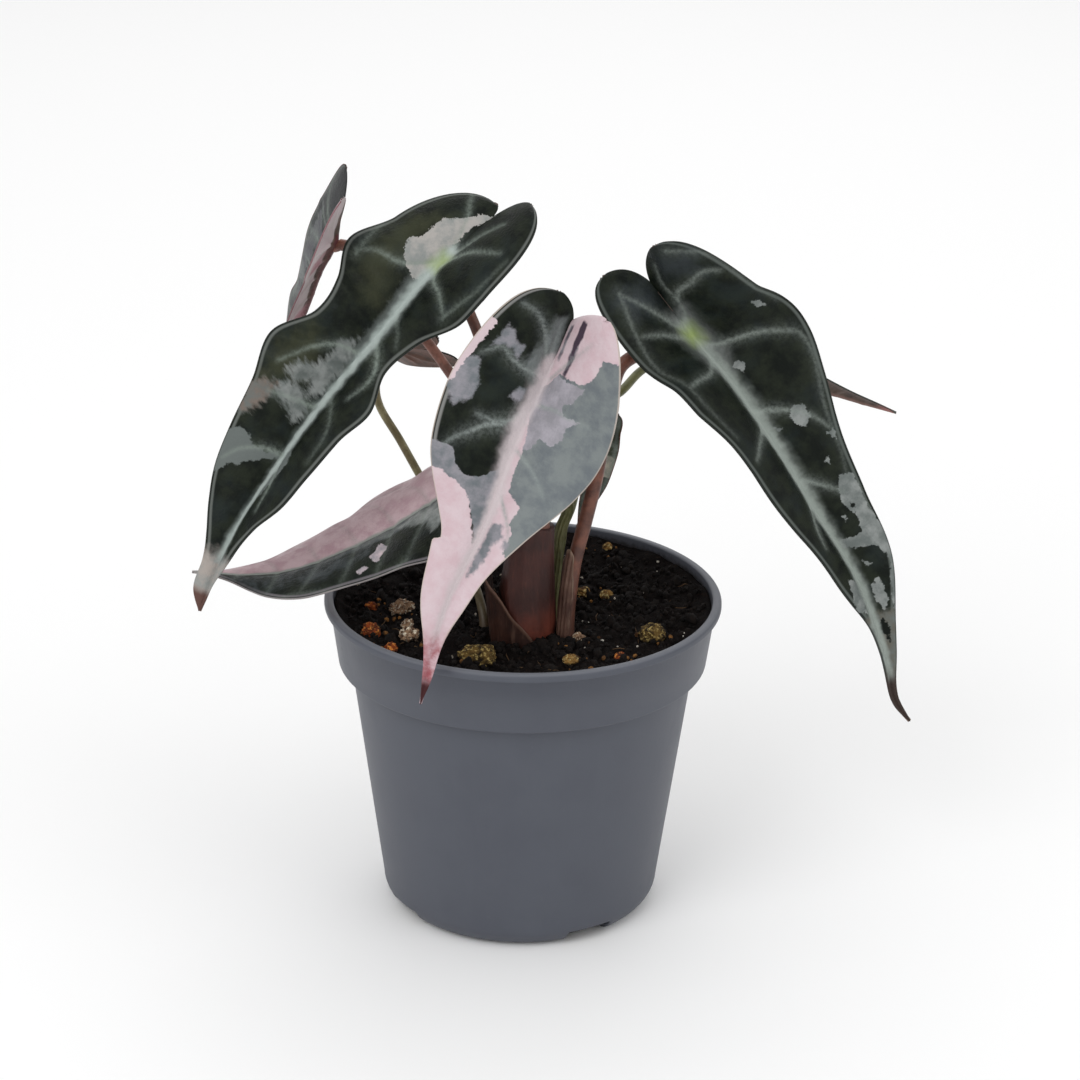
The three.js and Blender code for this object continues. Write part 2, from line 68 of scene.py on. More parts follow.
def placeCamera():
    data = bpy.data.cameras.new("photoCamera")
    data.lens = camera["lens"]
    data.sensor_width = camera["sensor"]
    data.clip_start = 0.05
    data.clip_end = 50
    yaw, pitch = math.radians(camera["yaw"]), math.radians(camera["pitch"])
    ahead = Vector((math.sin(yaw) * math.cos(pitch), math.cos(yaw) * math.cos(pitch), -math.sin(pitch)))
    right = ahead.cross(Vector((0, 0, 1))).normalized()
    right = Matrix.Rotation(-math.radians(camera["roll"]), 3, ahead) @ right
    up = right.cross(ahead)
    rise = math.radians(camera["elevation"])
    reach = camera["distance"] * mm
    place = Vector((0, -reach * math.cos(rise), camera["aimHeight"] * mm + reach * math.sin(rise)))
    made = bpy.data.objects.new("photoCamera", data)
    made.matrix_world = Matrix.Translation(place) @ Matrix((right, up, -ahead)).transposed().to_4x4()
    bpy.context.collection.objects.link(made)
    bpy.context.scene.camera = made


studio = {
    "floorSize": 12,
    "floorColour": (0.93, 0.93, 0.93, 1),
    "skyColour": (1, 1, 1, 1),
    "skyStrength": 0.8,
    "lamps": {
        "keyLamp": {"at": (-0.75, -1.1, 1.25), "size": 1.1, "power": 9},
        "fillLamp": {"at": (1.1, -0.7, 0.8), "size": 1.2, "power": 3},
        "backLamp": {"at": (0.15, 1.1, 1.3), "size": 1.2, "power": 4},
    },
    "lampAim": (0, 0, 0.1),
}


# node helpers


def addNode(tree, kind, inputs=None, **settings):
    made = tree.nodes.new(kind)
    for name, value in settings.items():
        setattr(made, name, value)
    for socket, value in (inputs or {}).items():
        if isinstance(value, bpy.types.NodeSocket):
            tree.links.new(value, made.inputs[socket])
        else:
            made.inputs[socket].default_value = value
    return made


def maths(tree, operation, first, second=0.0):
    return addNode(tree, "ShaderNodeMath", {0: first, 1: second}, operation=operation).outputs[0]


def ramp(tree, value, low, high, fromValue=0.0, toValue=1.0):
    inputs = {"Value": value, "From Min": low, "From Max": high, "To Min": fromValue, "To Max": toValue}
    return addNode(tree, "ShaderNodeMapRange", inputs, interpolation_type="SMOOTHSTEP").outputs[0]


def blend(tree, share, first, second):
    made = addNode(tree, "ShaderNodeMix", {0: share, 6: first, 7: second}, data_type="RGBA")
    return made.outputs[2]


def cloud(tree, place, scale, detail=3.0, roughness=0.55):
    inputs = {"Vector": place, "Scale": scale, "Detail": detail, "Roughness": roughness}
    return addNode(tree, "ShaderNodeTexNoise", inputs).outputs[0]


def attribute(tree, name, output="Fac"):
    return addNode(tree, "ShaderNodeAttribute", attribute_name=name).outputs[output]


def objectPlace(tree):
    return addNode(tree, "ShaderNodeTexCoord").outputs["Object"]


def heightOf(tree, place):
    return addNode(tree, "ShaderNodeSeparateXYZ", {"Vector": place}).outputs["Z"]


def drawnOut(tree, place):
    # squeezed along the Z axis, so that a cloud read from it becomes upright strands
    return addNode(tree, "ShaderNodeMapping", {"Vector": place, "Scale": (1, 1, 0.12)}).outputs[0]


def newMaterial(name, **finish):
    made = bpy.data.materials.new(name)
    made.use_nodes = True
    shader = made.node_tree.nodes["Principled BSDF"]
    for socket, value in finish.items():
        shader.inputs[socket].default_value = value
    return made, made.node_tree, shader


def newGroup(name, inputs, outputs):
    tree = bpy.data.node_groups.new(name, "ShaderNodeTree")
    for socket, (kind, value) in inputs.items():
        made = tree.interface.new_socket(socket, in_out="INPUT", socket_type="NodeSocket" + kind)
        if value is not None:
            made.default_value = value
    for socket, kind in outputs.items():
        tree.interface.new_socket(socket, in_out="OUTPUT", socket_type="NodeSocket" + kind)
    source = tree.nodes.new("NodeGroupInput")
    target = tree.nodes.new("NodeGroupOutput")
    return tree, source.outputs, target


def useGroup(tree, group, inputs):
    return addNode(tree, "ShaderNodeGroup", inputs, node_tree=group).outputs


def bumped(tree, shader, height, distance, strength=1.0):
    made = addNode(tree, "ShaderNodeBump", {"Height": height, "Distance": distance, "Strength": strength})
    tree.links.new(made.outputs[0], shader.inputs["Normal"])


def rgb(red, green, blue):
    # screen values from 0 to 255 as a linear colour
    def linear(value):
        share = value / 255
        return share / 12.92 if share <= 0.04045 else ((share + 0.055) / 1.055) ** 2.4

    return (linear(red), linear(green), linear(blue), 1)


# effects that several materials share


def makeSpeckle():
    # two sizes of cloud, for colour that wanders and a fine height
    inputs = {"Vector": ("Vector", None), "Scale": ("Float", 100.0), "Fine Scale": ("Float", 900.0)}
    tree, given, target = newGroup("speckle", inputs, {"Wander": "Float", "Height": "Float"})
    broad = cloud(tree, given["Vector"], given["Scale"], 4.0, 0.6)
    fine = cloud(tree, given["Vector"], given["Fine Scale"], 2.0, 0.5)
    tree.links.new(ramp(tree, broad, 0.34, 0.66), target.inputs["Wander"])
    height = maths(tree, "ADD", maths(tree, "MULTIPLY", broad, 0.6), maths(tree, "MULTIPLY", fine, 0.4))
    tree.links.new(height, target.inputs["Height"])
    return tree


def makeRaggedPatch():
    # a patch from its signed distance in mm, its edge torn by noise in the leaf's own plane
    inputs = {
        "Field": ("Float", 0.0),
        "Plane": ("Vector", None),
        "Scale": ("Float", 0.3),
        "Wander": ("Float", 3.0),
        "Edge": ("Float", 0.3),
    }
    tree, given, target = newGroup("raggedPatch", inputs, {"Mask": "Float"})
    broad = maths(tree, "SUBTRACT", cloud(tree, given["Plane"], given["Scale"], 3.0, 0.6), 0.5)
    shift = maths(tree, "MULTIPLY", broad, maths(tree, "MULTIPLY", given["Wander"], 2.0))
    field = maths(tree, "ADD", given["Field"], shift)
    low = maths(tree, "MULTIPLY", given["Edge"], -1.0)
    tree.links.new(ramp(tree, field, low, given["Edge"]), target.inputs["Mask"])
    return tree


def makeVeinBand():
    # a crisp middle and a soft halo from the distance to the midrib in half widths
    inputs = {"Distance": ("Float", 4.0), "Plane": ("Vector", None), "Spread": ("Float", 2.2)}
    tree, given, target = newGroup("veinBand", inputs, {"Core": "Float", "Halo": "Float"})
    wobble = maths(tree, "SUBTRACT", cloud(tree, given["Plane"], 0.3, 2.0, 0.5), 0.5)
    distance = maths(tree, "ADD", given["Distance"], maths(tree, "MULTIPLY", wobble, 1.1))
    tree.links.new(ramp(tree, distance, 0.25, 1.35, 1.0, 0.0), target.inputs["Core"])
    tree.links.new(ramp(tree, distance, 0.3, given["Spread"], 1.0, 0.0), target.inputs["Halo"])
    return tree


def makeLeafSkin():
    # the wandering of the green, a fine grain and a pebbled skin
    inputs = {"Plane": ("Vector", None)}
    outputs = {"Wander": "Float", "Grain": "Float", "Pebbles": "Float"}
    tree, given, target = newGroup("leafSkin", inputs, outputs)
    wander = cloud(tree, given["Plane"], 0.16, 5.0, 0.62)
    tree.links.new(ramp(tree, wander, 0.36, 0.66), target.inputs["Wander"])
    grain = cloud(tree, given["Plane"], 0.9, 5.0, 0.7)
    tree.links.new(ramp(tree, grain, 0.3, 0.7), target.inputs["Grain"])
    cells = {"Vector": given["Plane"], "Scale": 1.5}
    pebbles = addNode(tree, "ShaderNodeTexVoronoi", cells, feature="SMOOTH_F1").outputs["Distance"]
    tree.links.new(pebbles, target.inputs["Pebbles"])
    return tree


speckle = makeSpeckle()
raggedPatch = makeRaggedPatch()
veinBand = makeVeinBand()
leafSkin = makeLeafSkin()


# the stage


def makeStage():
    mesh = bmesh.new()
    bmesh.ops.create_grid(mesh, x_segments=2, y_segments=2, size=studio["floorSize"] / 2)
    data = bpy.data.meshes.new("floor")
    mesh.to_mesh(data)
    mesh.free()
    floor = bpy.data.objects.new("floor", data)
    bpy.context.collection.objects.link(floor)
    finish, _, shader = newMaterial("floorPaper", Roughness=0.9)
    shader.inputs["Base Color"].default_value = studio["floorColour"]
    data.materials.append(finish)
    world = bpy.data.worlds.new("studio")
    world.use_nodes = True
    sky = world.node_tree.nodes["Background"]
    sky.inputs["Color"].default_value = studio["skyColour"]
    sky.inputs["Strength"].default_value = studio["skyStrength"]
    bpy.context.scene.world = world
    for name, lamp in studio["lamps"].items():
        light = bpy.data.lights.new(name, "AREA")
        light.shape = "DISK"
        light.size = lamp["size"]
        light.energy = lamp["power"]
        made = bpy.data.objects.new(name, light)
        place = Vector(lamp["at"])
        turn = (Vector(studio["lampAim"]) - place).to_track_quat("-Z", "Y")
        made.matrix_world = Matrix.Translation(place) @ turn.to_matrix().to_4x4()
        bpy.context.collection.objects.link(made)


placeCamera()
makeStage()
bpy.context.scene.view_settings.view_transform = "Standard"
print("camera, floor and lamps placed")


# mesh helpers


def addPiece(name, mesh, materials, replaced=(), smooth=True):
    data = bpy.data.meshes.new(name)
    mesh.to_mesh(data)
    mesh.free()
    for material in materials:
        data.materials.append(material)
    if smooth:
        data.shade_smooth()
    made = bpy.data.objects.new(name, data)
    bpy.context.collection.objects.link(made)
    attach(made, "root")
    if replaced:
        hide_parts(*replaced)
    return made


def spun(profile, steps):
    # a closed profile of (radius, height) pairs in mm turned round the Z axis
    mesh = bmesh.new()
    points = [mesh.verts.new((radius * mm, 0, height * mm)) for radius, height in profile]
    edges = [mesh.edges.new(pair) for pair in zip(points, points[1:])]
    bmesh.ops.spin(
        mesh, geom=points + edges, cent=(0, 0, 0), axis=(0, 0, 1), dvec=(0, 0, 0),
        angle=2 * math.pi, steps=steps, use_merge=True, use_duplicate=False,
    )
    bmesh.ops.remove_doubles(mesh, verts=mesh.verts, dist=1e-6)
    bmesh.ops.recalc_face_normals(mesh, faces=mesh.faces)
    return mesh


def arc(centre, height, radius, fromDegrees, toDegrees, steps):
    angles = [math.radians(fromDegrees + (toDegrees - fromDegrees) * i / steps) for i in range(steps + 1)]
    return [(centre + radius * math.cos(a), height + radius * math.sin(a)) for a in angles]


def along(values, at):
    # Catmull-Rom through evenly spaced values with the end ones repeated; at runs from 0 to 1
    points = np.asarray(values, float)
    last = len(points) - 1
    place = np.clip(np.asarray(at, float), 0, 1) * last
    i = np.minimum(place.astype(int), last - 1)
    f = place - i
    if points.ndim > 1:
        f = f[..., None]
    a, b, c, d = (points[np.clip(i + step, 0, last)] for step in (-1, 0, 1, 2))
    return 0.5 * (2 * b + (c - a) * f + (2 * a - 5 * b + 4 * c - d) * f**2 + (3 * b - a - 3 * c + d) * f**3)


def routePoints(route, count):
    # a centripetal Catmull-Rom curve through the route, resampled to evenly spaced points
    points = [Vector(point) for point in route]
    points = [2 * points[0] - points[1], *points, 2 * points[-1] - points[-2]]
    dense = []
    for a, b, c, d in zip(points, points[1:], points[2:], points[3:]):
        ka = max((b - a).length, 1e-4) ** 0.5
        kb = max((c - b).length, 1e-4) ** 0.5
        kc = max((d - c).length, 1e-4) ** 0.5
        start = ((b - a) / ka - (c - a) / (ka + kb) + (c - b) / kb) * kb
        end = ((c - b) / kb - (d - b) / (kb + kc) + (d - c) / kc) * kb
        for i in range(24):
            t = i / 24
            cubic = 2 * b - 2 * c + start + end
            square = -3 * b + 3 * c - 2 * start - end
            dense.append(b + start * t + square * t**2 + cubic * t**3)
    dense.append(points[-2])
    reach = [0.0]
    for a, b in zip(dense, dense[1:]):
        reach.append(reach[-1] + (b - a).length)
    wanted = np.linspace(0, reach[-1], count)
    spread = [np.interp(wanted, reach, [point[k] for point in dense]) for k in range(3)]
    return [Vector(point) for point in zip(*spread)]


def sweep(mesh, centres, radii, sides):
    # a capped tube: one circle, extruded from centre to centre
    ends = [centres[0] * 2 - centres[1], *centres, centres[-1] * 2 - centres[-2]]
    ring = bmesh.ops.create_circle(mesh, cap_ends=True, radius=1, segments=sides)["verts"]
    edges = list({edge for vert in ring for edge in vert.link_edges})
    held = Matrix.Identity(4)
    turn = Matrix.Identity(3)
    spine = Vector((0, 0, 1))
    for i, centre in enumerate(centres):
        if i:
            grown = bmesh.ops.extrude_edge_only(mesh, edges=edges)["geom"]
            ring = [part for part in grown if isinstance(part, bmesh.types.BMVert)]
            edges = [part for part in grown if isinstance(part, bmesh.types.BMEdge)]
        ahead = (ends[i + 2] - ends[i]).normalized()
        turn = spine.rotation_difference(ahead).to_matrix() @ turn
        spine = ahead
        wide = radii[i] * mm
        target = Matrix.Translation(centre * mm) @ turn.to_4x4() @ Matrix.Diagonal((wide, wide, wide, 1))
        bmesh.ops.transform(mesh, matrix=target @ held.inverted(), verts=ring)
        held = target
    bmesh.ops.contextual_create(mesh, geom=edges)


# the pot: one moulding with a stepped collar, a rolled lip and a footed, drained base

pot = {
    "height": 99,
    "rimRadius": 60,
    "rimInner": 57.2,
    "rimDepth": 2.7,
    "collarTopRadius": 58.2,
    "collarFootRadius": 55.9,
    "collarFoot": 79.5,
    "shoulder": 77.8,
    "shoulderRadius": 52,
    "bodyFootRadius": 42.4,
    "footRadius": 7.1,
    "wall": 1.2,
    "ringInner": 29.5,
    "recess": 1.6,
    "centreRadius": 12,
    "drains": 4,
    "drainRadius": 4,
    "drainCircle": 20.5,
    "notches": 4,
    "notchWidth": 15,
    "notchHeight": 4.6,
    "notchAzimuth": -59,
    "steps": 176,
    "colour": rgb(74, 77, 86),
    "scuffColour": rgb(86, 90, 98),
    # a painted highlight: the lightened top edge of the lip
    "paintedLipHighlight": rgb(118, 121, 128),
    "innerWallDark": rgb(34, 30, 30),
}


def potProfile():
    footCentre = pot["bodyFootRadius"] - pot["footRadius"]
    rim = pot["height"] - pot["rimDepth"]
    top, wall, recess = pot["height"], pot["wall"], pot["recess"]
    foot, ring, centre = pot["footRadius"], pot["ringInner"], pot["centreRadius"]
    lip = [
        (pot["rimRadius"] - 0.5, rim + 0.05),
        *arc(pot["rimRadius"] - 0.8, rim + 0.9, 0.8, -70, 20, 4),
        *arc(pot["rimRadius"] - 1.3, top - 1.3, 1.3, 10, 90, 6),
        *arc(pot["rimInner"] + 0.8, top - 0.8, 0.8, 90, 180, 5),
    ]
    shoulder = [
        *arc(pot["shoulderRadius"] + 0.9, pot["shoulder"] - 0.2, 0.9, 180, 110, 4),
        (pot["collarFootRadius"] - 1.1, pot["shoulder"] + 0.75),
        *arc(pot["collarFootRadius"] - 0.8, pot["collarFoot"] - 0.1, 0.8, -75, -5, 4),
    ]
    outside = [
        (0, 0),
        (centre - 0.4, 0),
        (centre + 0.2, 0.2),
        (centre + 1.5, recess),
        (ring - 1.5, recess),
        (ring - 0.2, 0.2),
        (ring + 0.4, 0),
        *arc(footCentre, foot, foot, -90, 0, 12),
        *shoulder,
        (pot["collarTopRadius"], rim - 0.2),
        *lip,
    ]
    inside = [
        (pot["rimInner"] - 0.2, rim),
        (pot["collarFootRadius"] - wall + 0.2, pot["collarFoot"] + 0.6),
        (pot["shoulderRadius"] - wall, pot["shoulder"] - 0.3),
        *arc(footCentre, foot, foot - wall, 0, -90, 8),
        (ring + 0.7, wall),
        (ring - 0.8, recess + wall),
        (centre + 0.8, recess + wall),
        (centre - 0.7, wall),
        (0, wall),
    ]
    return outside + inside


def cutter(mesh, name):
    data = bpy.data.meshes.new(name)
    mesh.to_mesh(data)
    mesh.free()
    made = bpy.data.objects.new(name, data)
    bpy.context.collection.objects.link(made)
    return made


def potCutters():
    mesh = bmesh.new()
    for i in range(pot["drains"]):
        angle = (i + 0.5) / pot["drains"] * 2 * math.pi
        place = Matrix.Rotation(angle, 4, "Z") @ Matrix.Translation((pot["drainCircle"] * mm, 0, 0.001))
        radius = pot["drainRadius"] * mm
        bmesh.ops.create_cone(
            mesh, cap_ends=True, segments=32, radius1=radius, radius2=radius, depth=0.01, matrix=place,
        )
    inner, outer = pot["ringInner"] + 1.5, pot["bodyFootRadius"] + 1
    for i in range(pot["notches"]):
        angle = math.radians(pot["notchAzimuth"]) + i / pot["notches"] * 2 * math.pi
        size = Matrix.Diagonal(((outer - inner) * mm, pot["notchWidth"] * mm, 2 * pot["notchHeight"] * mm, 1))
        place = Matrix.Rotation(angle, 4, "Z") @ Matrix.Translation(((inner + outer) / 2 * mm, 0, 0)) @ size
        made = bmesh.ops.create_cube(mesh, size=1, matrix=place)["verts"]
        edges = list({edge for vert in made for edge in vert.link_edges})
        bmesh.ops.bevel(
            mesh, geom=edges, offset=0.0007, affect="EDGES", segments=3, profile=0.5, material=-1,
        )
    bmesh.ops.recalc_face_normals(mesh, faces=mesh.faces)
    return cutter(mesh, "potCutter")


def cutAway(mesh, tool):
    # the mesh with the tool's solids taken out of it
    blank = cutter(mesh, "cutBlank")
    cut = blank.modifiers.new("cut", "BOOLEAN")
    cut.object = tool
    cut.operation = "DIFFERENCE"
    cut.solver = "EXACT"
    data = bpy.data.meshes.new_from_object(blank.evaluated_get(bpy.context.evaluated_depsgraph_get()))
    result = bmesh.new()
    result.from_mesh(data)
    for made in (blank, tool):
        bpy.data.objects.remove(made)
    bpy.data.meshes.remove(data)
    return result


def potFinish():
    material, tree, shader = newMaterial("potPlastic", **{"Specular IOR Level": 0.35})
    place = objectPlace(tree)
    skin = useGroup(tree, speckle, {"Vector": place, "Scale": 55.0, "Fine Scale": 2600.0})
    streaks = ramp(tree, cloud(tree, drawnOut(tree, place), 190.0, 3.0, 0.6), 0.45, 0.8)
    scuffs = ramp(tree, cloud(tree, place, 420.0, 2.0, 0.7), 0.66, 0.74)
    dust = maths(tree, "MULTIPLY", skin["Wander"], 0.22)
    worn = maths(tree, "ADD", dust, maths(tree, "MULTIPLY", streaks, 0.16))
    worn = maths(tree, "ADD", worn, maths(tree, "MULTIPLY", scuffs, 0.22))
    colour = blend(tree, worn, pot["colour"], pot["scuffColour"])
    height = heightOf(tree, place)
    # painted highlight: the top of the lip lightened, where the light falls on it
    colour = blend(tree, ramp(tree, height, 0.0983, 0.0989, 0.0, 0.6), colour, pot["paintedLipHighlight"])
    flat = addNode(tree, "ShaderNodeVectorMath", {0: place, 1: (1, 1, 0)}, operation="MULTIPLY").outputs[0]
    radius = addNode(tree, "ShaderNodeVectorMath", {0: flat}, operation="LENGTH").outputs["Value"]
    # the inner wall darker from the soil up to just under the rim, with a ragged edge
    within = ramp(tree, radius, 0.0572, 0.0577, 1.0, 0.0)
    inside = maths(tree, "MULTIPLY", within, ramp(tree, height, 0.093, 0.0932))
    ragged = maths(tree, "ADD", height, maths(tree, "MULTIPLY", cloud(tree, place, 700.0, 3.0, 0.6), 0.003))
    innerDarkening = maths(tree, "MULTIPLY", inside, ramp(tree, ragged, 0.0972, 0.0994, 0.85, 0.0))
    colour = blend(tree, innerDarkening, colour, pot["innerWallDark"])
    tree.links.new(colour, shader.inputs["Base Color"])
    tree.links.new(ramp(tree, worn, 0.0, 0.6, 0.46, 0.62), shader.inputs["Roughness"])
    bumped(tree, shader, skin["Height"], 0.00012, 0.5)
    return material


potMesh = cutAway(spun(potProfile(), pot["steps"]), potCutters())
addPiece("potShell", potMesh, [potFinish()], ["pot"])
print("pot turned, drained and notched")


# the soil: a block of peat that fills the pot, with crumbs, fibres and white specks on it

soil = {
    "edgeLevel": 95,
    "middleLevel": 93,
    "bank": 1.5,
    "roughness": 0.55,
    "edgeRadius": 56.7,
    "rings": 74,
    "steps": 220,
    "lumps": 1.5,
    "crumbs": 1700,
    "crumbSize": (0.35, 1.4),
    "clods": 170,
    "clodSize": (1.2, 2.5),
    "heaps": [(2.5, -29, 2.2), (6, -28, 2.6), (9.5, -26, 2.4), (13, -23, 2.0), (-9, -28, 1.8)],
    "fibres": 60,
    "specks": 45,
    "colour": rgb(17, 13, 12),
    "brownColour": rgb(46, 32, 24),
    "fibreColour": rgb(84, 64, 44),
    "speckColour": rgb(205, 200, 190),
    "pitColour": rgb(12, 9, 9),
    "crumbColour": rgb(24, 18, 15),
    "crumbShade": rgb(11, 8, 8),
    "fibreShade": rgb(70, 52, 36),
    "speckShade": rgb(150, 140, 125),
    "gritColour": rgb(140, 98, 52),
    "gritShade": rgb(58, 38, 24),
}


def soilLevel(x, y):
    share = math.hypot(x, y) / pot["rimInner"]
    banked = soil["bank"] * min(1, max(0, share - 0.82) / 0.15) ** 2
    lumps = math.sin(0.31 * x + 1) * math.cos(0.27 * y) + 0.6 * math.sin(0.53 * y + 0.17 * x)
    dish = (soil["edgeLevel"] - soil["middleLevel"]) * share**2
    return soil["middleLevel"] + dish + banked + soil["roughness"] * lumps


def peatRise(x, y):
    # how far the crumbled peat lies above or below the level, in mm
    broad = fractal.fractal(Vector((x * 0.16, y * 0.16, 3)), 0.9, 2.1, 4)
    fine = fractal.noise(Vector((x * 0.95, y * 0.95, 9)))
    near = min(1.0, max(0.0, (soil["edgeRadius"] - math.hypot(x, y)) / 3))
    return (soil["lumps"] * broad + 0.45 * fine) * (0.35 + 0.65 * near)


def soilMesh():
    inset = 0.25
    low = pot["recess"] + pot["wall"] + inset
    foot = pot["footRadius"] - pot["wall"]
    centre = pot["bodyFootRadius"] - pot["footRadius"]
    wall = [(r - inset, z) for r, z in arc(centre, pot["footRadius"], foot, -50, 0, 5)]
    wall += [
        (pot["shoulderRadius"] - pot["wall"] - inset, pot["shoulder"]),
        (pot["collarFootRadius"] - pot["wall"] - inset, pot["collarFoot"] + 0.9),
        (soil["edgeRadius"] - 0.2, soil["edgeLevel"] - 1.5),
    ]
    shares = [1 - i / soil["rings"] for i in range(soil["rings"] + 1)]
    rings = [(soil["edgeRadius"] * share, soil["edgeLevel"]) for share in shares]
    mesh = spun([(0, low), (wall[0][0], low), *wall, *rings], soil["steps"])
    for vert in mesh.verts:
        if vert.co.z > (soil["edgeLevel"] - 0.1) * mm:
            x, y = vert.co.x / mm, vert.co.y / mm
            vert.co.z = (soilLevel(x, y) + peatRise(x, y)) * mm
    return mesh


def peatFinish():
    material, tree, shader = newMaterial("darkPeat", **{"Roughness": 0.95, "Specular IOR Level": 0.08})
    place = objectPlace(tree)
    grit = useGroup(tree, speckle, {"Vector": place, "Scale": 320.0, "Fine Scale": 1500.0})
    brown = ramp(tree, cloud(tree, place, 700.0, 2.0, 0.7), 0.56, 0.72)
    colour = blend(tree, maths(tree, "MULTIPLY", brown, 0.5), soil["colour"], soil["brownColour"])
    colour = blend(tree, maths(tree, "MULTIPLY", grit["Wander"], 0.5), colour, soil["pitColour"])
    tree.links.new(colour, shader.inputs["Base Color"])
    bumped(tree, shader, grit["Height"], 0.0012)
    return material


def plainFinish(name, colour, shade, roughness, scale, depth):
    # a matt mineral or fibre: two tones wandering over a gritty surface
    material, tree, shader = newMaterial(name, **{"Roughness": roughness, "Specular IOR Level": 0.2})
    grit = useGroup(tree, speckle, {"Vector": objectPlace(tree), "Scale": scale, "Fine Scale": scale * 5})
    tree.links.new(blend(tree, grit["Wander"], colour, shade), shader.inputs["Base Color"])
    bumped(tree, shader, grit["Height"], depth)
    return material


def spotOnSoil(pick, margin=2.0):
    # a place on the soil, clear of the stem
    while True:
        angle = pick.uniform(0, 2 * math.pi)
        radius = (soil["edgeRadius"] - margin) * math.sqrt(pick.random())
        x, y = radius * math.cos(angle), radius * math.sin(angle)
        if math.hypot(x - stem["axis"][1][0], y - stem["axis"][1][1]) > stem["radii"][1] + 1:
            return x, y


def anyTurn(pick):
    turns = [Matrix.Rotation(pick.uniform(0, 2 * math.pi), 4, axis) for axis in "XYZ"]
    return turns[0] @ turns[1] @ turns[2]


def strewn(pick, x, y, rise, shape):
    return Matrix.Translation((x * mm, y * mm, rise * mm)) @ anyTurn(pick) @ shape


def crumbMesh(count, sizes, seed):
    pick = random.Random(seed)
    mesh = bmesh.new()
    for _ in range(count):
        x, y = spotOnSoil(pick)
        size = pick.uniform(*sizes)
        shape = Matrix.Diagonal((size * mm, size * pick.uniform(0.6, 1) * mm, size * 0.7 * mm, 1))
        rise = soilLevel(x, y) + peatRise(x, y) + size * pick.uniform(-0.1, 0.45)
        place = strewn(pick, x, y, rise, shape)
        made = bmesh.ops.create_icosphere(mesh, subdivisions=1, radius=1, matrix=place)["verts"]
        for vert in made:
            vert.co += Vector([pick.uniform(-0.18, 0.18) * size * mm for _ in range(3)])
    return mesh


def clodMesh(seed):
    # larger crumbs of peat, strewn and heaped against the stem
    pick = random.Random(seed)
    spots = [(*spotOnSoil(pick, 4), pick.uniform(*soil["clodSize"])) for _ in range(soil["clods"])]
    for x, y, size in soil["heaps"]:
        for _ in range(10):
            spots.append((x + pick.gauss(0, 1.7), y + pick.gauss(0, 1.3), size * pick.uniform(0.5, 1)))
    mesh = bmesh.new()
    for x, y, size in spots:
        shape = Matrix.Diagonal((size * mm, size * pick.uniform(0.6, 1) * mm, size * 0.6 * mm, 1))
        rise = soilLevel(x, y) + peatRise(x, y) + size * pick.uniform(-0.2, 0.2)
        made = bmesh.ops.create_icosphere(mesh, subdivisions=2, radius=1)["verts"]
        for vert in made:
            vert.co *= 1 + 0.5 * fractal.fractal(vert.co * 1.7 + Vector((x, y, 0)), 0.7, 2.1, 4)
        place = strewn(pick, x, y, rise, shape)
        bmesh.ops.transform(mesh, matrix=place, verts=made)
    return mesh


def fibreMesh(count, seed):
    # thin bent roots and straws that lie on the peat
    pick = random.Random(seed)
    mesh = bmesh.new()
    for _ in range(count):
        x, y = spotOnSoil(pick, 5)
        bearing = pick.uniform(0, 2 * math.pi)
        reach = pick.uniform(1.5, 6)
        bend = pick.uniform(-0.5, 0.5)
        centres = []
        for i in range(4):
            share = i / 3 - 0.5
            px = x + reach * (share * math.cos(bearing) - bend * share**2 * math.sin(bearing))
            py = y + reach * (share * math.sin(bearing) + bend * share**2 * math.cos(bearing))
            centres.append(Vector((px, py, soilLevel(px, py) + peatRise(px, py) + 0.35 + 0.3 * share)))
        sweep(mesh, centres, [0.12, 0.17, 0.16, 0.07], 5)
    return mesh


# the stem's measures stand before the soil, because nothing is strewn where it grows
stem = {
    "axis": [(-0.5, -18.3, 84.3), (0, -18, 93), (0.7, -17.5, 104), (1.5, -16.5, 118), (2, -16, 128)],
    "radii": [7, 9, 8.2, 7.3, 6.7],
    "sides": 72,
    "rings": 70,
    "colour": rgb(70, 38, 33),
    "darkColour": rgb(36, 22, 20),
    "footColour": rgb(136, 68, 50),
    "strandColour": rgb(104, 58, 46),
}

addPiece("soilBed", soilMesh(), [peatFinish()], ["soil"])
crumbFinish = plainFinish("peatCrumbs", soil["crumbColour"], soil["crumbShade"], 0.95, 500.0, 0.0005)
addPiece("soilCrumbs", crumbMesh(soil["crumbs"], soil["crumbSize"], 11), [crumbFinish], smooth=False)
addPiece("soilClods", clodMesh(31), [crumbFinish])
fibreFinish = plainFinish("rootFibres", soil["fibreColour"], soil["fibreShade"], 0.8, 300.0, 0.0001)
addPiece("soilFibres", fibreMesh(soil["fibres"], 5), [fibreFinish])
speckFinish = plainFinish("whiteSpecks", soil["speckColour"], soil["speckShade"], 0.9, 600.0, 0.0003)
addPiece("soilSpecks", crumbMesh(soil["specks"], (0.25, 0.7), 23), [speckFinish], smooth=False)
print("soil filled and strewn")


# the loose grains that lie on the soil, each in the place of its imported node

# each kind's tones: its colour, a darker tone, and a pale tone that is partly its own colour and partly
# painted glints
grainLooks = {
    "lava": {
        "slot": "grain_lava",
        "tones": (rgb(148, 70, 30), rgb(60, 30, 20), rgb(212, 136, 66)),
        "rough": 0.3,
    },
    "pumice": {
        "slot": "grain_pumice",
        "tones": (rgb(166, 136, 108), rgb(72, 48, 34), rgb(232, 222, 200)),
        "rough": 0.36,
    },
    "bark": {
        "slot": "grain_bark",
        "tones": (rgb(104, 82, 42), rgb(28, 20, 13), rgb(170, 148, 92)),
        "rough": 0.26,
    },
    "feed": {
        "slot": "grain_feed",
        "tones": (rgb(140, 106, 56), rgb(56, 35, 20), rgb(190, 170, 116)),
        "rough": 0.22,
    },
}


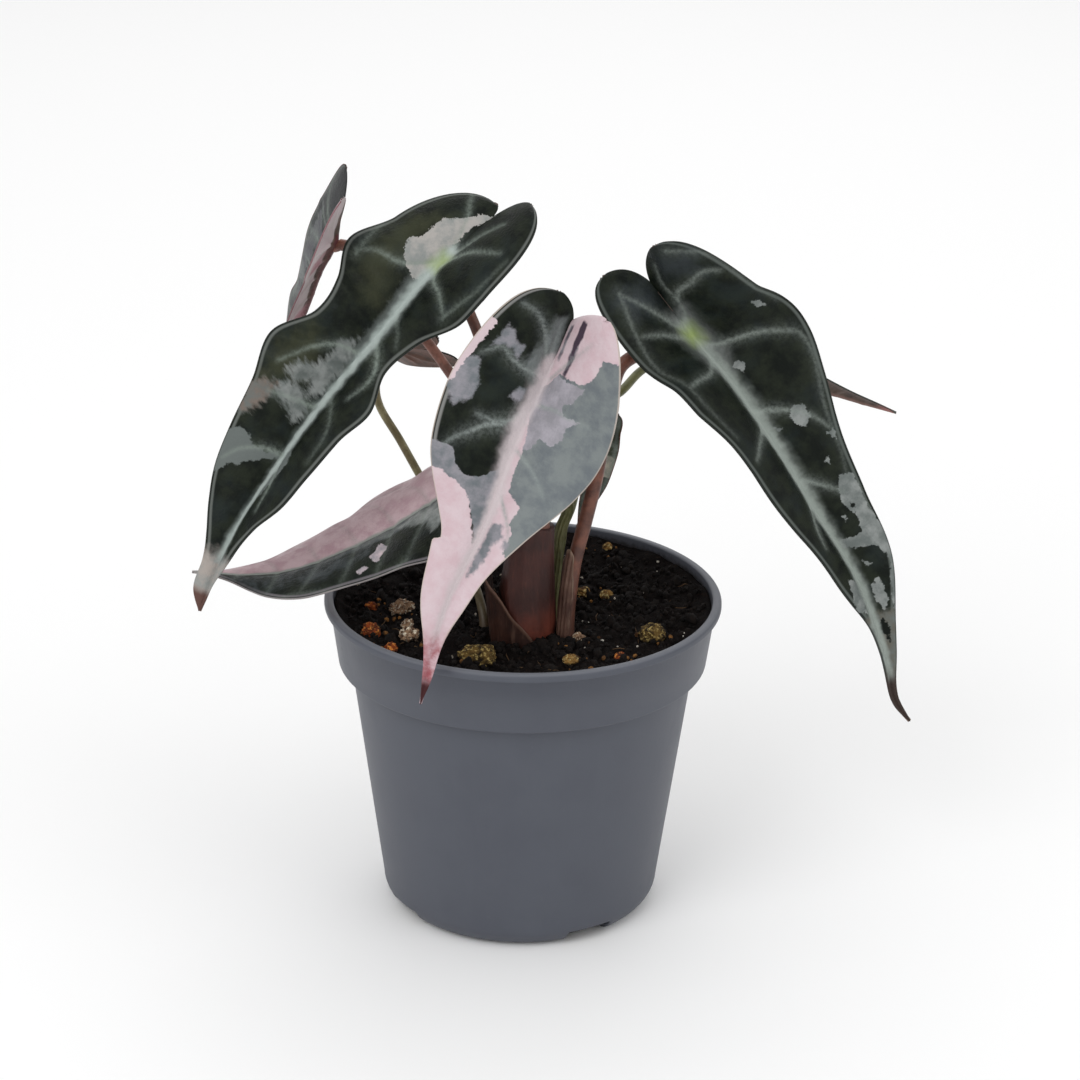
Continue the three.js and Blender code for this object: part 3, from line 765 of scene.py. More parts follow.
def grainMesh(low, high, rough, seed):
    # a pitted lump that fills its node's box; height tells the foot from the top
    mesh = bmesh.new()
    height = mesh.verts.layers.float.new("height")
    bmesh.ops.create_icosphere(mesh, subdivisions=5, radius=1)
    for vert in mesh.verts:
        vert[height] = vert.co.z
        pits = fractal.fractal(vert.co * 1.6 + Vector((seed, 0, 0)), 0.7, 2.2, 6)
        vert.co *= 1 + rough * pits - 0.4 * rough * abs(fractal.noise(vert.co * 4 + Vector((0, seed, 0))))
    size = (high - low) / 2
    middle = (high + low) / 2
    place = Matrix.Translation(middle) @ Matrix.Diagonal((*size, 1))
    bmesh.ops.transform(mesh, matrix=place, verts=mesh.verts)
    return mesh


def grainFinish(kind, looks):
    # three tones in patches, the palest partly the grain's own pale colour and partly a painted glint; darker
    # with the soil's colour in mottled spots and towards the foot
    material, tree, shader = newMaterial(kind + "Grain", **{"Roughness": 0.85, "Specular IOR Level": 0.2})
    place = objectPlace(tree)
    tone, shade, light = looks["tones"]
    grit = useGroup(tree, speckle, {"Vector": place, "Scale": 520.0, "Fine Scale": 2400.0})
    colour = blend(tree, grit["Wander"], tone, shade)
    # the palest tone in patches: partly the grains' own pale colour, partly painted glints
    colour = blend(tree, ramp(tree, cloud(tree, place, 900.0, 3.0, 0.6), 0.52, 0.64), colour, light)
    mottle = maths(tree, "MULTIPLY", cloud(tree, place, 600.0, 3.0, 0.6), 1.6)
    foot = maths(tree, "ADD", attribute(tree, "height"), mottle)
    # darker towards the foot and in mottled spots, blended to the soil's colour
    colour = blend(tree, ramp(tree, foot, 0.2, 0.75, 0.95, 0.0), colour, soil["colour"])
    tree.links.new(colour, shader.inputs["Base Color"])
    bumped(tree, shader, grit["Height"], 0.0008)
    return material


def gritMesh(grains, seed):
    # small broken bits lying round the grains
    pick = random.Random(seed)
    mesh = bmesh.new()
    for name in grains:
        low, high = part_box(name)
        middle = (low + high) / 2 / mm
        for _ in range(6):
            x, y = middle.x + pick.gauss(0, 3.4), middle.y + pick.gauss(0, 3.4)
            if math.hypot(x, y) > soil["edgeRadius"] - 2:
                continue
            size = pick.uniform(0.3, 0.95)
            shape = Matrix.Diagonal((size * mm, size * 0.8 * mm, size * 0.7 * mm, 1))
            rise = soilLevel(x, y) + peatRise(x, y) + size * 0.4
            place = strewn(pick, x, y, rise, shape)
            made = bmesh.ops.create_icosphere(mesh, subdivisions=2, radius=1, matrix=place)["verts"]
            for vert in made:
                vert.co += Vector([pick.uniform(-0.12, 0.12) * size * mm for _ in range(3)])
    return mesh


def dressGrains():
    finishes = {kind: grainFinish(kind, looks) for kind, looks in grainLooks.items()}
    grains = sorted(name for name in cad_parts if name.startswith("grain_"))
    for number, name in enumerate(grains):
        kind = name.split("_")[1]
        looks = grainLooks[kind]
        low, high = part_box(name)
        mesh = grainMesh(low, high, looks["rough"], number * 7.3)
        addPiece(name + ".lump", mesh, [finishes[kind]], [name])
    grit = plainFinish("brokenGrit", soil["gritColour"], soil["gritShade"], 0.9, 500.0, 0.0004)
    addPiece("soilGrit", gritMesh(grains, 41), [grit])


dressGrains()
print("grains dressed")


# the stem base: a thick sheathed column


def stemMesh():
    mesh = bmesh.new()
    centres = routePoints(stem["axis"], stem["rings"])
    radii = along(stem["radii"], np.linspace(0, 1, stem["rings"]))
    sweep(mesh, centres, list(radii), stem["sides"])
    for vert in mesh.verts:
        share = (vert.co.z / mm - centres[0].z) / (centres[-1].z - centres[0].z)
        centre = centres[round(min(1, max(0, share)) * (stem["rings"] - 1))] * mm
        spoke = vert.co - centre
        spoke.z = 0
        angle = math.atan2(spoke.y, spoke.x)
        ribs = 0.05 * math.sin(3 * angle + 2.2 * share) + 0.018 * math.sin(11 * angle + 3 * share)
        rough = 0.03 * fractal.noise(Vector((math.cos(angle) * 2, math.sin(angle) * 2, share * 2)))
        vert.co += spoke * (ribs + rough)
    bmesh.ops.recalc_face_normals(mesh, faces=mesh.faces)
    return mesh


def stemFinish():
    material, tree, shader = newMaterial("stemSheath", **{"Roughness": 0.5, "Specular IOR Level": 0.3})
    place = objectPlace(tree)
    strands = cloud(tree, drawnOut(tree, place), 900.0, 3.0, 0.6)
    skin = useGroup(tree, speckle, {"Vector": place, "Scale": 90.0, "Fine Scale": 900.0})
    colour = blend(tree, maths(tree, "MULTIPLY", skin["Wander"], 0.6), stem["colour"], stem["darkColour"])
    height = heightOf(tree, place)
    low = ramp(tree, height, 0.09, 0.108, 0.85, 0.0)
    glow = maths(tree, "MULTIPLY", low, ramp(tree, skin["Wander"], 0, 1, 1, 0.4))
    colour = blend(tree, glow, colour, stem["footColour"])
    colour = blend(tree, ramp(tree, strands, 0.5, 0.85, 0.0, 0.4), colour, stem["strandColour"])
    tree.links.new(colour, shader.inputs["Base Color"])
    bumped(tree, shader, strands, 0.0003)
    return material


addPiece("stemColumn", stemMesh(), [stemFinish()], ["stem_base"])
print("stem base lofted")


# the leaves: each rib runs from the heel over the joint to the tip; half widths start at the joint
# and tilts at the heel. lobe holds each side's length behind the joint, in heel lengths, and the
# distance of its end from the rib's line. Veins and patches are drawn on the flattened blade as
# (along, across) in mm from the joint: along points to the tip, across is negative on the left.

blade = {
    "lobeFullness": 2.4,
    "sinusRoundness": 1.5,
    "lobeRows": 30,
    "foldRows": 24,
    "rowSpacing": 0.6,
    "columns": 48,
    "topLift": 0.25,
    "marginThickness": 0.45,
    "ribThickness": 2.1,
    "midribWidth": (1.9, 0.8),
    "veinCore": 0.8,
    "veinHalo": 2.2,
    "veinFade": (1.0, 0.35),
    "ribGroove": 0.28,
    "veinGroove": 0.3,
    "quilting": 0.45,
    "farField": 9.0,
}

leafColours = {
    "green": rgb(12, 17, 13),
    "olive": rgb(31, 36, 27),
    "cast": rgb(34, 42, 42),
    "rib": rgb(140, 149, 142),
    "vein": rgb(128, 138, 130),
    "margin": rgb(92, 98, 94),
    "edge": rgb(44, 48, 44),
    "silverGrey": rgb(136, 140, 138),
    "grey": rgb(98, 104, 102),
    "sage": rgb(112, 120, 118),
    "pink": rgb(204, 186, 191),
    "blush": rgb(168, 164, 160),
    "rose": rgb(176, 128, 136),
    "lilac": rgb(142, 140, 146),
    "cream": rgb(190, 186, 170),
    "brown": rgb(92, 68, 62),
    "joint": rgb(150, 166, 108),
    "under": rgb(104, 84, 78),
    "underShade": rgb(78, 72, 66),
    "underRib": rgb(140, 118, 102),
}


def patch(name, colour, outlines, **settings):
    # over lays a patch above the veins, streak draws it out along an angle in degrees
    return {"name": name, "colour": colour, "outlines": outlines, **settings}


leaves = {
    "left": {
        "rib": [
            (-2, 14, 219), (-25, 6, 201), (-43, -3, 182), (-62, -12, 161), (-79, -20, 137),
            (-88, -25, 121), (-95, -30, 105),
        ],
        "heading": 0,
        "half": {
            "left": [21.4, 25.1, 19.7, 18.4, 24, 19.7, 17.3, 14.9, 11, 7.3, 4.8, 4.1, 0],
            "right": [26.1, 23.3, 13.9, 12.1, 19.7, 17.1, 16.4, 17.1, 11.3, 6, 4.2, 1.2, 0],
        },
        "tilt": {"left": [-50, 9.8, -5.7, 2.5], "right": [55.9, 35.2, 58.7, 58.4]},
        "lobe": {"left": [0.7, 2.9], "right": [1, 8.8]},
        "sinus": 0.54,
        "arch": 0.07,
        "wave": 0.8,
        "waves": 4,
        "petiole": [
            (1.1, -20.3, 122), (1.6, -18.5, 135), (0, -14, 148), (-5, -8, 162), (-11, -3, 174),
            (-15, 0, 184), (-19, 3, 192),
        ],
        "petioleRadii": [1.7, 1.6],
        "midrib": [(-4, 0), (10, 0), (25, 0.5), (42, 1.5), (60, 2), (80, 2), (95, 1), (110, 0), (125, 0)],
        "midribWidth": (2.4, 1.2),
        "creases": [
            {"at": (46, -10), "reach": 13, "period": 6.5, "turn": 15, "height": 0.85},
            {"at": (22, -12), "reach": 9, "period": 5.5, "turn": -20, "height": 0.55},
        ],
        "veins": [
            [(-1, 0), (4, -4), (8, -9), (9, -14), (10, -17), (13, -21)],
            [(0, 0), (-8, 3), (-14.5, 5), (-21, 9)],
            [(0, 1), (-5, 5), (-8, 8), (-11, 13), (-14, 18)],
            [(0, 0), (-8, -2), (-15, -6), (-20, -12)],
            [(3, 1), (6, 5), (7.5, 10), (10, 14), (12.5, 17)],
            [(36, -1), (38, -7), (43, -12), (52, -17)],
            [(30, 2), (35, 8), (41, 11), (48, 10)],
            [(56, 0), (58, -8), (60, -14)],
            [(73, 1), (74, -5), (78, -11), (83, -14)],
            [(74, 2), (82, 6), (90, 8)],
        ],
        "veinCore": 0.65,
        "veinHalo": 2.0,
        "faintVeins": [
            [(13, 17), (0, 22), (-14, 22)],
            [(14, -20), (0, -22), (-12, -19)],
            [(20, 0), (24, 6), (28, 9)],
            [(50, 2), (54, 8), (60, 12), (70, 13)],
        ],
        "layers": [
            # painted highlight: an olive sheen painted into the colour of the left half
            patch(
                "paintedOliveSheen", "sheen", wander=5, edge=4, strength=0.45,
                outlines=[
                    [(-12, -9), (-2, -18), (14, -18), (22, -10), (22, -4), (8, -10)],
                    [(38, -16), (48, -19), (60, -19), (52, -8), (44, -8)],
                ],
            ),
            patch(
                "paleFlank", "grey", wander=2.2, edge=1.5, scale=0.6, strength=0.6,
                outlines=[[(7, -4), (20, -3), (34, -3), (40, -2), (40, 1), (8, 1)]],
            ),
            # painted highlights: silver-grey streaks where the crumpled folds catch the light
            patch(
                "paintedFoldHighlights", "silverGrey", shade="grey", wander=3.4, edge=1.4, scale=0.6, streak=20,
                strength=0.9,
                outlines=[
                    [(36, -7), (33, -4), (40, -1), (52, -0.5), (54, -4), (51, -6), (54, -10), (52, -14),
                     (48, -12), (46, -8), (42, -7)],
                    [(56, -14), (54, -9), (55, -4), (60, -1), (63, -3), (60, -8), (60, -12)],
                ],
            ),
            # painted highlights: brownish streaks on the crumpled folds
            patch(
                "paintedBrownFoldHighlights", "mottle", shade="grey", wander=3, edge=1.4, scale=0.6, streak=10,
                outlines=[[(58, -17), (57, -13), (63, -13), (68, -15), (70, -18), (62, -20)]],
            ),
            patch(
                "greyPatch", "grey", wander=1.6, scale=0.5,
                outlines=[
                    [(82, -18), (75, -17), (72, -13), (75, -8.5), (75, -4), (72, -1), (74, 0), (78, -5),
                     (82, -9), (84, -12), (90, -15)],
                    [(71, 2), (70, 5), (74, 7), (80, 6), (87, 4), (84, 2)],
                ],
            ),
            patch(
                "pinkHeel", "blush", shade="silverGrey", wander=1.6, scale=0.7, edge=0.15,
                outlines=[
                    [(9, -2), (8, -6), (4, -11), (1, -12), (-1, -9.5), (-6, -10), (-9, -10), (-13, -6.5),
                     (-18, -3.5), (-21, 1), (-13.5, -2), (-9, -1.5), (-2, -1), (4, -1)],
                ],
            ),
            patch(
                "paleTip", "tip", shade="silverGrey", wander=3, edge=3, over=True,
                outlines=[[(108, -20), (108, 20), (140, 20), (140, -20)]],
            ),
            patch(
                "brownTip", "brown", wander=1, edge=1.5, over=True,
                outlines=[[(119, -20), (119, 20), (140, 20), (140, -20)]],
            ),
            patch(
                "jointSpot", "joint", wander=1, edge=2.5, strength=0.8, over=True,
                outlines=[[(-3, -2), (3, -2), (3, 2), (-3, 2)]],
            ),
        ],
        "colours": {"sheen": rgb(70, 72, 52), "mottle": rgb(112, 100, 92), "tip": rgb(160, 152, 146),
                    "rib": rgb(172, 182, 178), "margin": rgb(104, 108, 104)},
    },
    "front": {
        "rib": [
            (16, -22, 200), (6, -30, 178), (-3, -40, 159), (-12, -49, 138), (-21, -56, 121),
            (-26, -60, 105), (-29, -63, 91),
        ],
        "heading": 0,
        "half": {
            "left": [26.3, 26.1, 23.4, 15.2, 11.1, 7.7, 3.3, 1, 0],
            "right": [28.4, 26.3, 21.3, 13.4, 8.1, 5.8, 3, 1.9, 0],
        },
        "tilt": {"left": [38.3, 13, 3.7, 12.3], "right": [66.9, 13.3, 37.7, 25.7]},
        "lobe": {"left": [0.9, 8.9], "right": [0.8, 19.3]},
        "sinus": 0.6,
        "arch": 0.07,
        "wave": 0.8,
        "waves": 3.5,
        "petiole": [(5.8, -18.2, 122), (5.6, -17, 135), (8, -16.5, 148), (10, -18, 158), (12, -22, 171)],
        "petioleRadii": [1.7, 1.6],
        "midrib": [(-4, -1.5), (4, -1.2), (12, -1.8), (22, -1.5), (32, -0.5), (42, 0), (100, 0)],
        "midribWidth": (3.1, 1.0),
        "nicks": [{"side": "left", "at": 54, "depth": 2.3, "above": 8, "below": 0.9}],
        "veins": [
            [(0, -2), (0, -8), (-1, -13), (-3, -18), (1, -22)],
            [(-2, -2), (-8, -5), (-12, -8), (-16, -13), (-17, -19)],
            [(-2, -2), (-9, -3), (-16, -4)],
            [(12, -3), (16, -6), (17.5, -10), (17.5, -15)],
            [(17, -7), (19, -11), (22, -14), (25, -17.5), (28, -20)],
            [(0, 1), (-7, 8), (-14, 16)],
            [(8, 1), (8, 8), (9, 13), (9.5, 20)],
            [(22, 0), (26, 7), (32, 13)],
            [(36, 1), (42, 6), (47, 9)],
        ],
        "layers": [
            patch(
                "lobeHaze", "sage", shade="grey", wander=2.2, edge=1.6, strength=0.85,
                outlines=[
                    [(8, -1), (3, -5), (-2, -9), (-5, -9), (-9, -7), (-17, -7), (-18, -3), (-8, -0.5)],
                ],
            ),
            patch(
                "rightHalf", "sage", shade="steel", wander=0.3, edge=0.3,
                outlines=[[(-30, 1), (0, -0.5), (100, -0.5), (100, 30), (-30, 30)]],
            ),
            patch(
                "lilacField", "lilac", shade="paleLilac", wander=1.2, scale=0.5, edge=0.2,
                outlines=[
                    [(-3, 1), (-2, 6), (-1, 12), (-1, 17), (4, 14), (6, 10), (9, 11), (9, 17), (12, 13),
                     (15, 13), (18, 10), (17, 6), (21, 4), (22, 0), (8, -1)],
                ],
            ),
            patch(
                "pinkLobe", "pink", shade="rosePink", wander=1, scale=0.6, edge=0.2,
                outlines=[
                    [(3, -1), (-19, 0), (-30, 8), (-28, 30), (-12, 30), (-11, 22), (-6, 20), (-2, 16),
                     (-2, 11), (-3, 5), (1, 2)],
                    [(10, -1), (16, 1.5), (23, 2.5), (29, 2.5), (34, 3), (37, 8), (42, 7), (45, 9),
                     (50, 9), (51, 11), (58, 14), (104, 6), (104, -1)],
                ],
            ),
            patch(
                "greyFoot", "lilac", shade="steel", wander=1.4, scale=0.5, edge=0.2,
                outlines=[
                    [(28, -28), (28, -17), (32, -15), (34, -11), (32, -6), (28, -2), (40, -1), (50, -1),
                     (46, -4), (41, -7), (39, -10), (38, -14), (37, -18), (38, -28)],
                ],
            ),
            patch(
                "pinkFoot", "pink", shade="rosePink", wander=1.3, scale=0.5, edge=0.2,
                outlines=[
                    [(35, -28), (35, -18), (36, -14), (37.5, -10), (40, -7.5), (46, -4), (51, -1.5),
                     (54, 0), (104, 0.5), (104, -20), (60, -28)],
                ],
            ),
            patch(
                "lilacBits", "lilac", shade="steel", wander=1.4, scale=0.6, edge=0.7,
                outlines=[
                    [(-10, -20), (-9, -17.5), (-6, -14.5), (-6, -12), (-1, -12), (-4, -15), (-4, -18),
                     (-2, -21)],
                    [(2, -22), (6, -20), (10, -18), (14, -18), (18, -22), (14, -26), (9, -26), (4, -25)],
                    [(9, -9), (6, -7.5), (5, -5), (8, -4.5), (10, -6)],
                    [(44, 2), (43, 5), (47, 7), (50, 5), (53, 5.5), (58, 4.5), (61, 2.5), (54, 1.5)],
                    [(47, 8), (49, 8), (49, 9.5), (47, 9.5)],
                ],
            ),
            patch(
                "streak", "lilac", shade="plum", wander=0.8, edge=0.5,
                outlines=[
                    [(-13, 8), (-12, 10.5), (-7, 9), (-2, 8), (-3, 6.5), (-8, 7)],
                    [(-17, 2.5), (-17, 4.5), (-6, 3), (-6, 1.8)],
                ],
            ),
            patch(
                "plumSpot", "plum", wander=0.8, edge=0.4,
                outlines=[[(-19.5, 9), (-19, 12), (-15, 12), (-12, 10), (-9, 9), (-9, 7.5), (-13, 8)]],
            ),
            patch(
                "pinkEdge", "pink", wander=1.4, scale=0.6, edge=0.2,
                outlines=[[(-12, -30), (-9, -23), (-1, -24), (5, -24.5), (12, -25.2), (14, -30)]],
            ),
            patch(
                "redTip", "tipRose", shade="rosePink", wander=2, edge=5, over=True,
                outlines=[[(84, -20), (80, 0), (76, 20), (130, 20), (130, -20)]],
            ),
            patch(
                "darkTip", "tip", wander=1, edge=2, over=True,
                outlines=[[(93, -20), (93, 20), (130, 20), (130, -20)]],
            ),
        ],
        "veinCore": 0.6,
        "veinHalo": 2.6,
        "colours": {"rib": rgb(198, 188, 190), "vein": rgb(142, 150, 147), "edge": rgb(190, 178, 168),
                    "margin": rgb(140, 140, 138), "plum": rgb(70, 58, 70), "steel": rgb(104, 110, 114),
                    "sage": rgb(122, 128, 128), "paleLilac": rgb(164, 160, 168),
                    "lilac": rgb(140, 138, 144),
                    "rosePink": rgb(198, 174, 180), "tipRose": rgb(148, 84, 90), "tip": rgb(64, 34, 36)},
    },
    "right": {
        "rib": [
            (30, 6, 204), (49, 0, 181), (61, -6, 168), (74, -11, 150), (86, -16, 132), (98, -20, 114),
            (107, -23, 92), (111, -25, 77), (116, -26, 70),
        ],
        "heading": 0,
        "half": {
            "left": [23, 24.5, 20.6, 18.2, 14.6, 10.9, 2.5, 1.9, 1, 0],
            "right": [26.8, 28.5, 24.5, 18.9, 16.1, 13, 6.2, 2.1, 1, 0],
        },
        "tilt": {"left": [32, 58.8, 55, 48.6], "right": [49.2, -10.8, -1.6, 14.1]},
        "lobe": {"left": [1, 12.3], "right": [0.9, 11.5]},
        "sinus": 0.54,
        "arch": 0.07,
        "wave": 0.8,
        "waves": 4,
        "petiole": [
            (12.6, -19.6, 88), (12.9, -18.9, 97), (15, -15, 115), (18, -12, 127), (21, -10, 140),
            (25, -5, 163), (28, -3, 173), (36, 0, 177),
        ],
        "petioleRadii": [2.2, 2],
        "midrib": [(-4, 0.5), (10, -0.3), (30, 0), (60, 0), (90, -0.3), (134, 0)],
        "midribWidth": (3.0, 1.3),
        "veins": [
            [(-1, -1), (-9.5, -5), (-17, -8.5), (-23, -12)],
            [(-1, 1), (-4, 2), (-8, 4), (-12, 5), (-18.5, 4.5), (-24, 7)],
            [(-12, 5), (-14, 8), (-14, 13), (-14.5, 19), (-12, 23)],
            [(2, 1), (6, 4.5), (8, 8.5), (11, 15), (14, 20), (16.5, 24)],
            [(-1, -2), (-3, -6), (-6.5, -10), (-10, -16)],
            [(9, -1), (12, -8), (12, -14), (12, -20)],
            [(28, 1), (31, 6), (33.5, 9.5), (38, 14), (44, 17)],
            [(34, -2), (36, -9), (39, -15)],
            [(52, 1), (57, 6), (62, 10)],
            [(60, -1), (66, -6), (72, -8)],
        ],
        "veinCore": 0.65,
        "veinHalo": 2.0,
        "faintVeins": [
            [(14, 20), (16.5, 24), (20, 25), (27, 23.5), (36, 20), (43, 18), (52, 16), (60, 13)],
            [(-24, -12), (-12, -17), (0, -20), (14, -20), (30, -17)],
            [(-26, 14), (-18, 24), (-6, 26), (8, 26)],
        ],
        "layers": [
            patch(
                "jointHaze", "silverGrey", shade="grey", wander=2, edge=4, strength=0.75,
                outlines=[[(-9, -3), (-9, 6), (0, 6), (8, 5), (14, 2), (12, -3), (4, -6)]],
            ),
            # painted highlight: a bluish sheen painted on both lobes
            patch(
                "paintedLobeSheen", "steel", wander=4, edge=5, strength=0.5,
                outlines=[
                    [(-24, -14), (-16, -14), (-14, -4), (-22, -2)],
                    [(-27, 8), (-20, 8), (-16, 16), (-22, 22)],
                ],
            ),
            patch(
                "greyEdge", "grey", shade="silverGrey", wander=1.6, scale=0.5, edge=0.2,
                outlines=[
                    [(57, 12), (59, 15.5), (66, 15), (70, 14), (80, 15), (92, 12), (100, 8), (100, 6.5),
                     (92, 8.5), (84, 11.5), (80, 9), (78, 4), (76, 1), (73, 1), (75, 5), (75, 8), (71, 10),
                     (69, 9.5), (65, 8), (61, 9)],
                    [(90, 3), (88, 6), (95, 6.5), (98, 4), (93, 2.5)],
                    [(84, -6), (87, -2), (97, -2), (94, -6)],
                ],
            ),
            patch(
                "greyTail", "grey", shade="tail", wander=1.6, scale=0.5, edge=1.2,
                outlines=[[(101, -20), (98, 2), (100, 20), (150, 20), (150, -20)]],
            ),
            patch(
                "darkFlecks", "green", wander=1.6, scale=0.8, edge=0.3,
                outlines=[
                    [(100, 3), (104, 4), (108, 2.5), (102, 1)],
                    [(66, 10), (68, 9), (68, 11)],
                    [(86, 9), (88, 9), (88, 10.5)],
                ],
            ),
            patch(
                "silverSpecks", "silverGrey", shade="grey", wander=1.2, scale=0.9, edge=0.2,
                outlines=[
                    [(33, 10), (33.5, 13.5), (38, 14), (40, 11), (38, 8.5), (35, 8.5)],
                    [(14, 3.5), (13, 5), (15, 7), (17, 5)],
                    [(2, 21.5), (3, 23), (7, 23), (5, 21)],
                    [(51, 10), (51, 12), (53, 11)],
                    [(35, 3), (37, 3), (37, 5)],
                    [(45, 15), (45, 18), (48, 17)],
                    [(82, 4), (84, 4), (84, 6)],
                    [(68, 6), (70, 6), (69, 7.5)],
                ],
            ),
            patch(
                "jointSpot", "joint", wander=1.2, edge=3.5, over=True,
                outlines=[[(-3.5, -3), (1.5, -3), (2, 3), (-3.5, 3)]],
            ),
            patch(
                "brownTip", "tip", wander=1, edge=3, over=True,
                outlines=[[(118, -20), (118, 20), (160, 20), (160, -20)]],
            ),
        ],
        "colours": {"tip": rgb(60, 50, 46), "tail": rgb(92, 90, 82), "steel": rgb(70, 76, 80),
                    "rib": rgb(154, 162, 156),
                    "vein": rgb(132, 140, 134)},
    },
    "low": {
        "rib": [
            (-8, -13, 147), (-21, -11.5, 137), (-28, -11, 132), (-43, -11, 122), (-65, -12, 112),
            (-81, -14, 110), (-98, -16, 112),
        ],
        "heading": -90,
        "half": {
            "left": [22, 25.5, 26.7, 27.4, 19.4, 17.1, 8, 5.2, 0],
            "right": [22, 26.9, 27.4, 22.8, 18.2, 17.9, 11.6, 3.9, 0],
        },
        "tilt": {"left": [-11.1, 2.1, 5.2, -9.9], "right": [-12.8, -13.1, -10.9, -7.2]},
        "lobe": {"left": [1, 10], "right": [1, 10]},
        "sinus": 0.5,
        "arch": 0.07,
        "wave": 0.8,
        "waves": 4,
        "petiole": [(-2.4, -16.5, 122), (-4.2, -16.4, 129), (-8.5, -15, 132.5), (-14, -13, 133.5)],
        "petioleRadii": [1.6, 1.5],
        "midribWidth": (1.2, 0.6),
        "veinStrength": 0.35,
        "nicks": [
            {"side": "left", "at": 35, "depth": 2.2, "above": 5, "below": 4},
            {"side": "left", "at": 20, "depth": -1.2, "above": 4, "below": 5},
        ],
        "layers": [
            patch(
                "farHalf", "mauve", shade="rosePink", wander=0.4, edge=0.3,
                outlines=[[(-40, 0), (90, 0), (90, -30), (-40, -30)]],
            ),
            patch(
                "greyNear", "steel", shade="green", wander=5, edge=3, strength=0.8, streak=80,
                outlines=[[(24, 4), (30, 10), (46, 12), (66, 9), (74, 3), (50, 3)]],
            ),
            patch(
                "ribBand", "grey", shade="steel", wander=1.6, edge=1, scale=0.5, streak=85,
                outlines=[[(6, 1.6), (6, 6), (20, 7), (32, 5), (48, 3.5), (66, 2.4), (30, 1.6)]],
            ),
            patch(
                "silverNear", "silverGrey", shade="grey", wander=3, edge=1.5, scale=0.6, streak=60,
                outlines=[[(4, 4), (2, 16), (8, 17), (10, 11), (15, 9), (19, 5), (12, 3)]],
            ),
            patch(
                "pinkBits", "pink", shade="lilac", wander=0.9, scale=0.8, edge=0.2,
                outlines=[
                    [(26, 7.5), (23.5, 11.5), (25, 13), (28, 16), (30, 12), (27.5, 11)],
                    [(31, 16), (32, 14.5), (35, 15), (34, 16.5)],
                ],
            ),
        ],
        "colours": {"mauve": rgb(196, 172, 177), "rosePink": rgb(178, 148, 155), "edge": rgb(150, 144, 144),
                    "margin": rgb(118, 114, 118),
                    "steel": rgb(66, 72, 74)},
    },
    "upper": {
        "rib": [
            (-51, 6, 223), (-57, 12, 205), (-62, 22, 193), (-67, 36, 177), (-72, 50, 163),
            (-76, 60, 153),
        ],
        "heading": -90,
        "half": {"left": [17.3, 15.8, 11.5, 10.2, 11.6, 7, 0], "right": [15.2, 9.8, 13.8, 13.2, 9, 5, 0]},
        "tilt": {"left": [16.5, 28.3, 26.8, 23.1], "right": [17.3, 17.4, 19.3, 20]},
        "lobe": {"left": [1, 11], "right": [0.9, 4.1]},
        "sinus": 0.3,
        "arch": 0.05,
        "wave": 0,
        "waves": 1,
        "petiole": [
            (0.2, -12, 122), (-0.3, -9.5, 136), (-3, -5, 148), (-9, -2, 155), (-17, 0.5, 162),
            (-28, 4, 176), (-42, 8, 193), (-51, 11.5, 203),
        ],
        "petioleRadii": [1.75, 1.4],
        "midribWidth": (1.0, 0.6),
        "layers": [
            patch(
                "nearStrip", "blush", shade="pink", wander=0.8, edge=0.4,
                outlines=[[(-30, 2), (80, 2), (80, 20), (-30, 20)]],
            ),
            patch(
                "roseBits", "rose", wander=2, edge=1.5,
                outlines=[[(2, 2), (12, 2), (14, 8), (4, 7)], [(34, 0), (48, 0), (50, 8), (38, 8)]],
            ),
            patch(
                "maroonRib", "maroon", wander=0.6, edge=0.6,
                outlines=[[(-4, -2), (80, -2), (80, 0.8), (-4, 0.8)]],
            ),
            patch(
                "greyFar", "grey", shade="steel", wander=5, edge=0.6, scale=0.4, strength=0.8,
                outlines=[[(-4, -14), (8, -12), (34, -9), (44, -5), (20, -5), (4, -6)]],
            ),
        ],
        "colours": {"edge": rgb(110, 60, 66), "blush": rgb(196, 188, 187), "green": rgb(48, 50, 50),
                    "olive": rgb(62, 62, 64), "maroon": rgb(96, 48, 54),
                    "steel": rgb(88, 86, 92)},
        "reliefShare": 0.35,
        "veinStrength": 0.6,
    },
    "rear": {
        "rib": [(-23, 14, 171), (-41, 24, 169), (-53, 40, 166), (-64, 58, 160), (-71, 70, 152)],
        "heading": -130,
        "half": {"left": [13, 14, 12, 8, 4, 0], "right": [13, 14, 12, 8, 4, 0]},
        "tilt": {"left": [-40, -40, -30, -10], "right": [50, 50, 40, 20]},
        "lobe": {"left": [1, 7], "right": [0.9, 7]},
        "sinus": 0.5,
        "arch": 0.05,
        "wave": 0,
        "waves": 1,
        "petiole": [
            (-11.2, -14.2, 88), (-11.8, -12, 97), (-15.5, -3, 106), (-22, 11, 115), (-27, 18, 121),
            (-32, 21, 129), (-38, 22, 140), (-44, 21.5, 151), (-45, 20, 158), (-43.5, 20.5, 164.5),
        ],
        "petioleRadii": [1.3, 1.2],
        "veinStrength": 0.6,
        "layers": [],
        "colours": {"under": rgb(124, 96, 86), "underShade": rgb(92, 84, 78),
                    "underRib": rgb(150, 120, 106)},
    },
    "side": {
        "rib": [(34, 26, 177), (50, 28, 170), (72, 38, 159), (96, 46, 148), (116, 52, 140)],
        "heading": 112,
        "half": {"left": [14, 15, 13, 8, 4, 0], "right": [14, 15, 12, 6, 3, 0]},
        "tilt": {"left": [28, 28, 30, 25], "right": [-19, -19, -19, -19]},
        "lobe": {"left": [1, 6], "right": [1, 6]},
        "sinus": 0.5,
        "arch": 0.05,
        "wave": 0,
        "waves": 1,
        "petiole": [
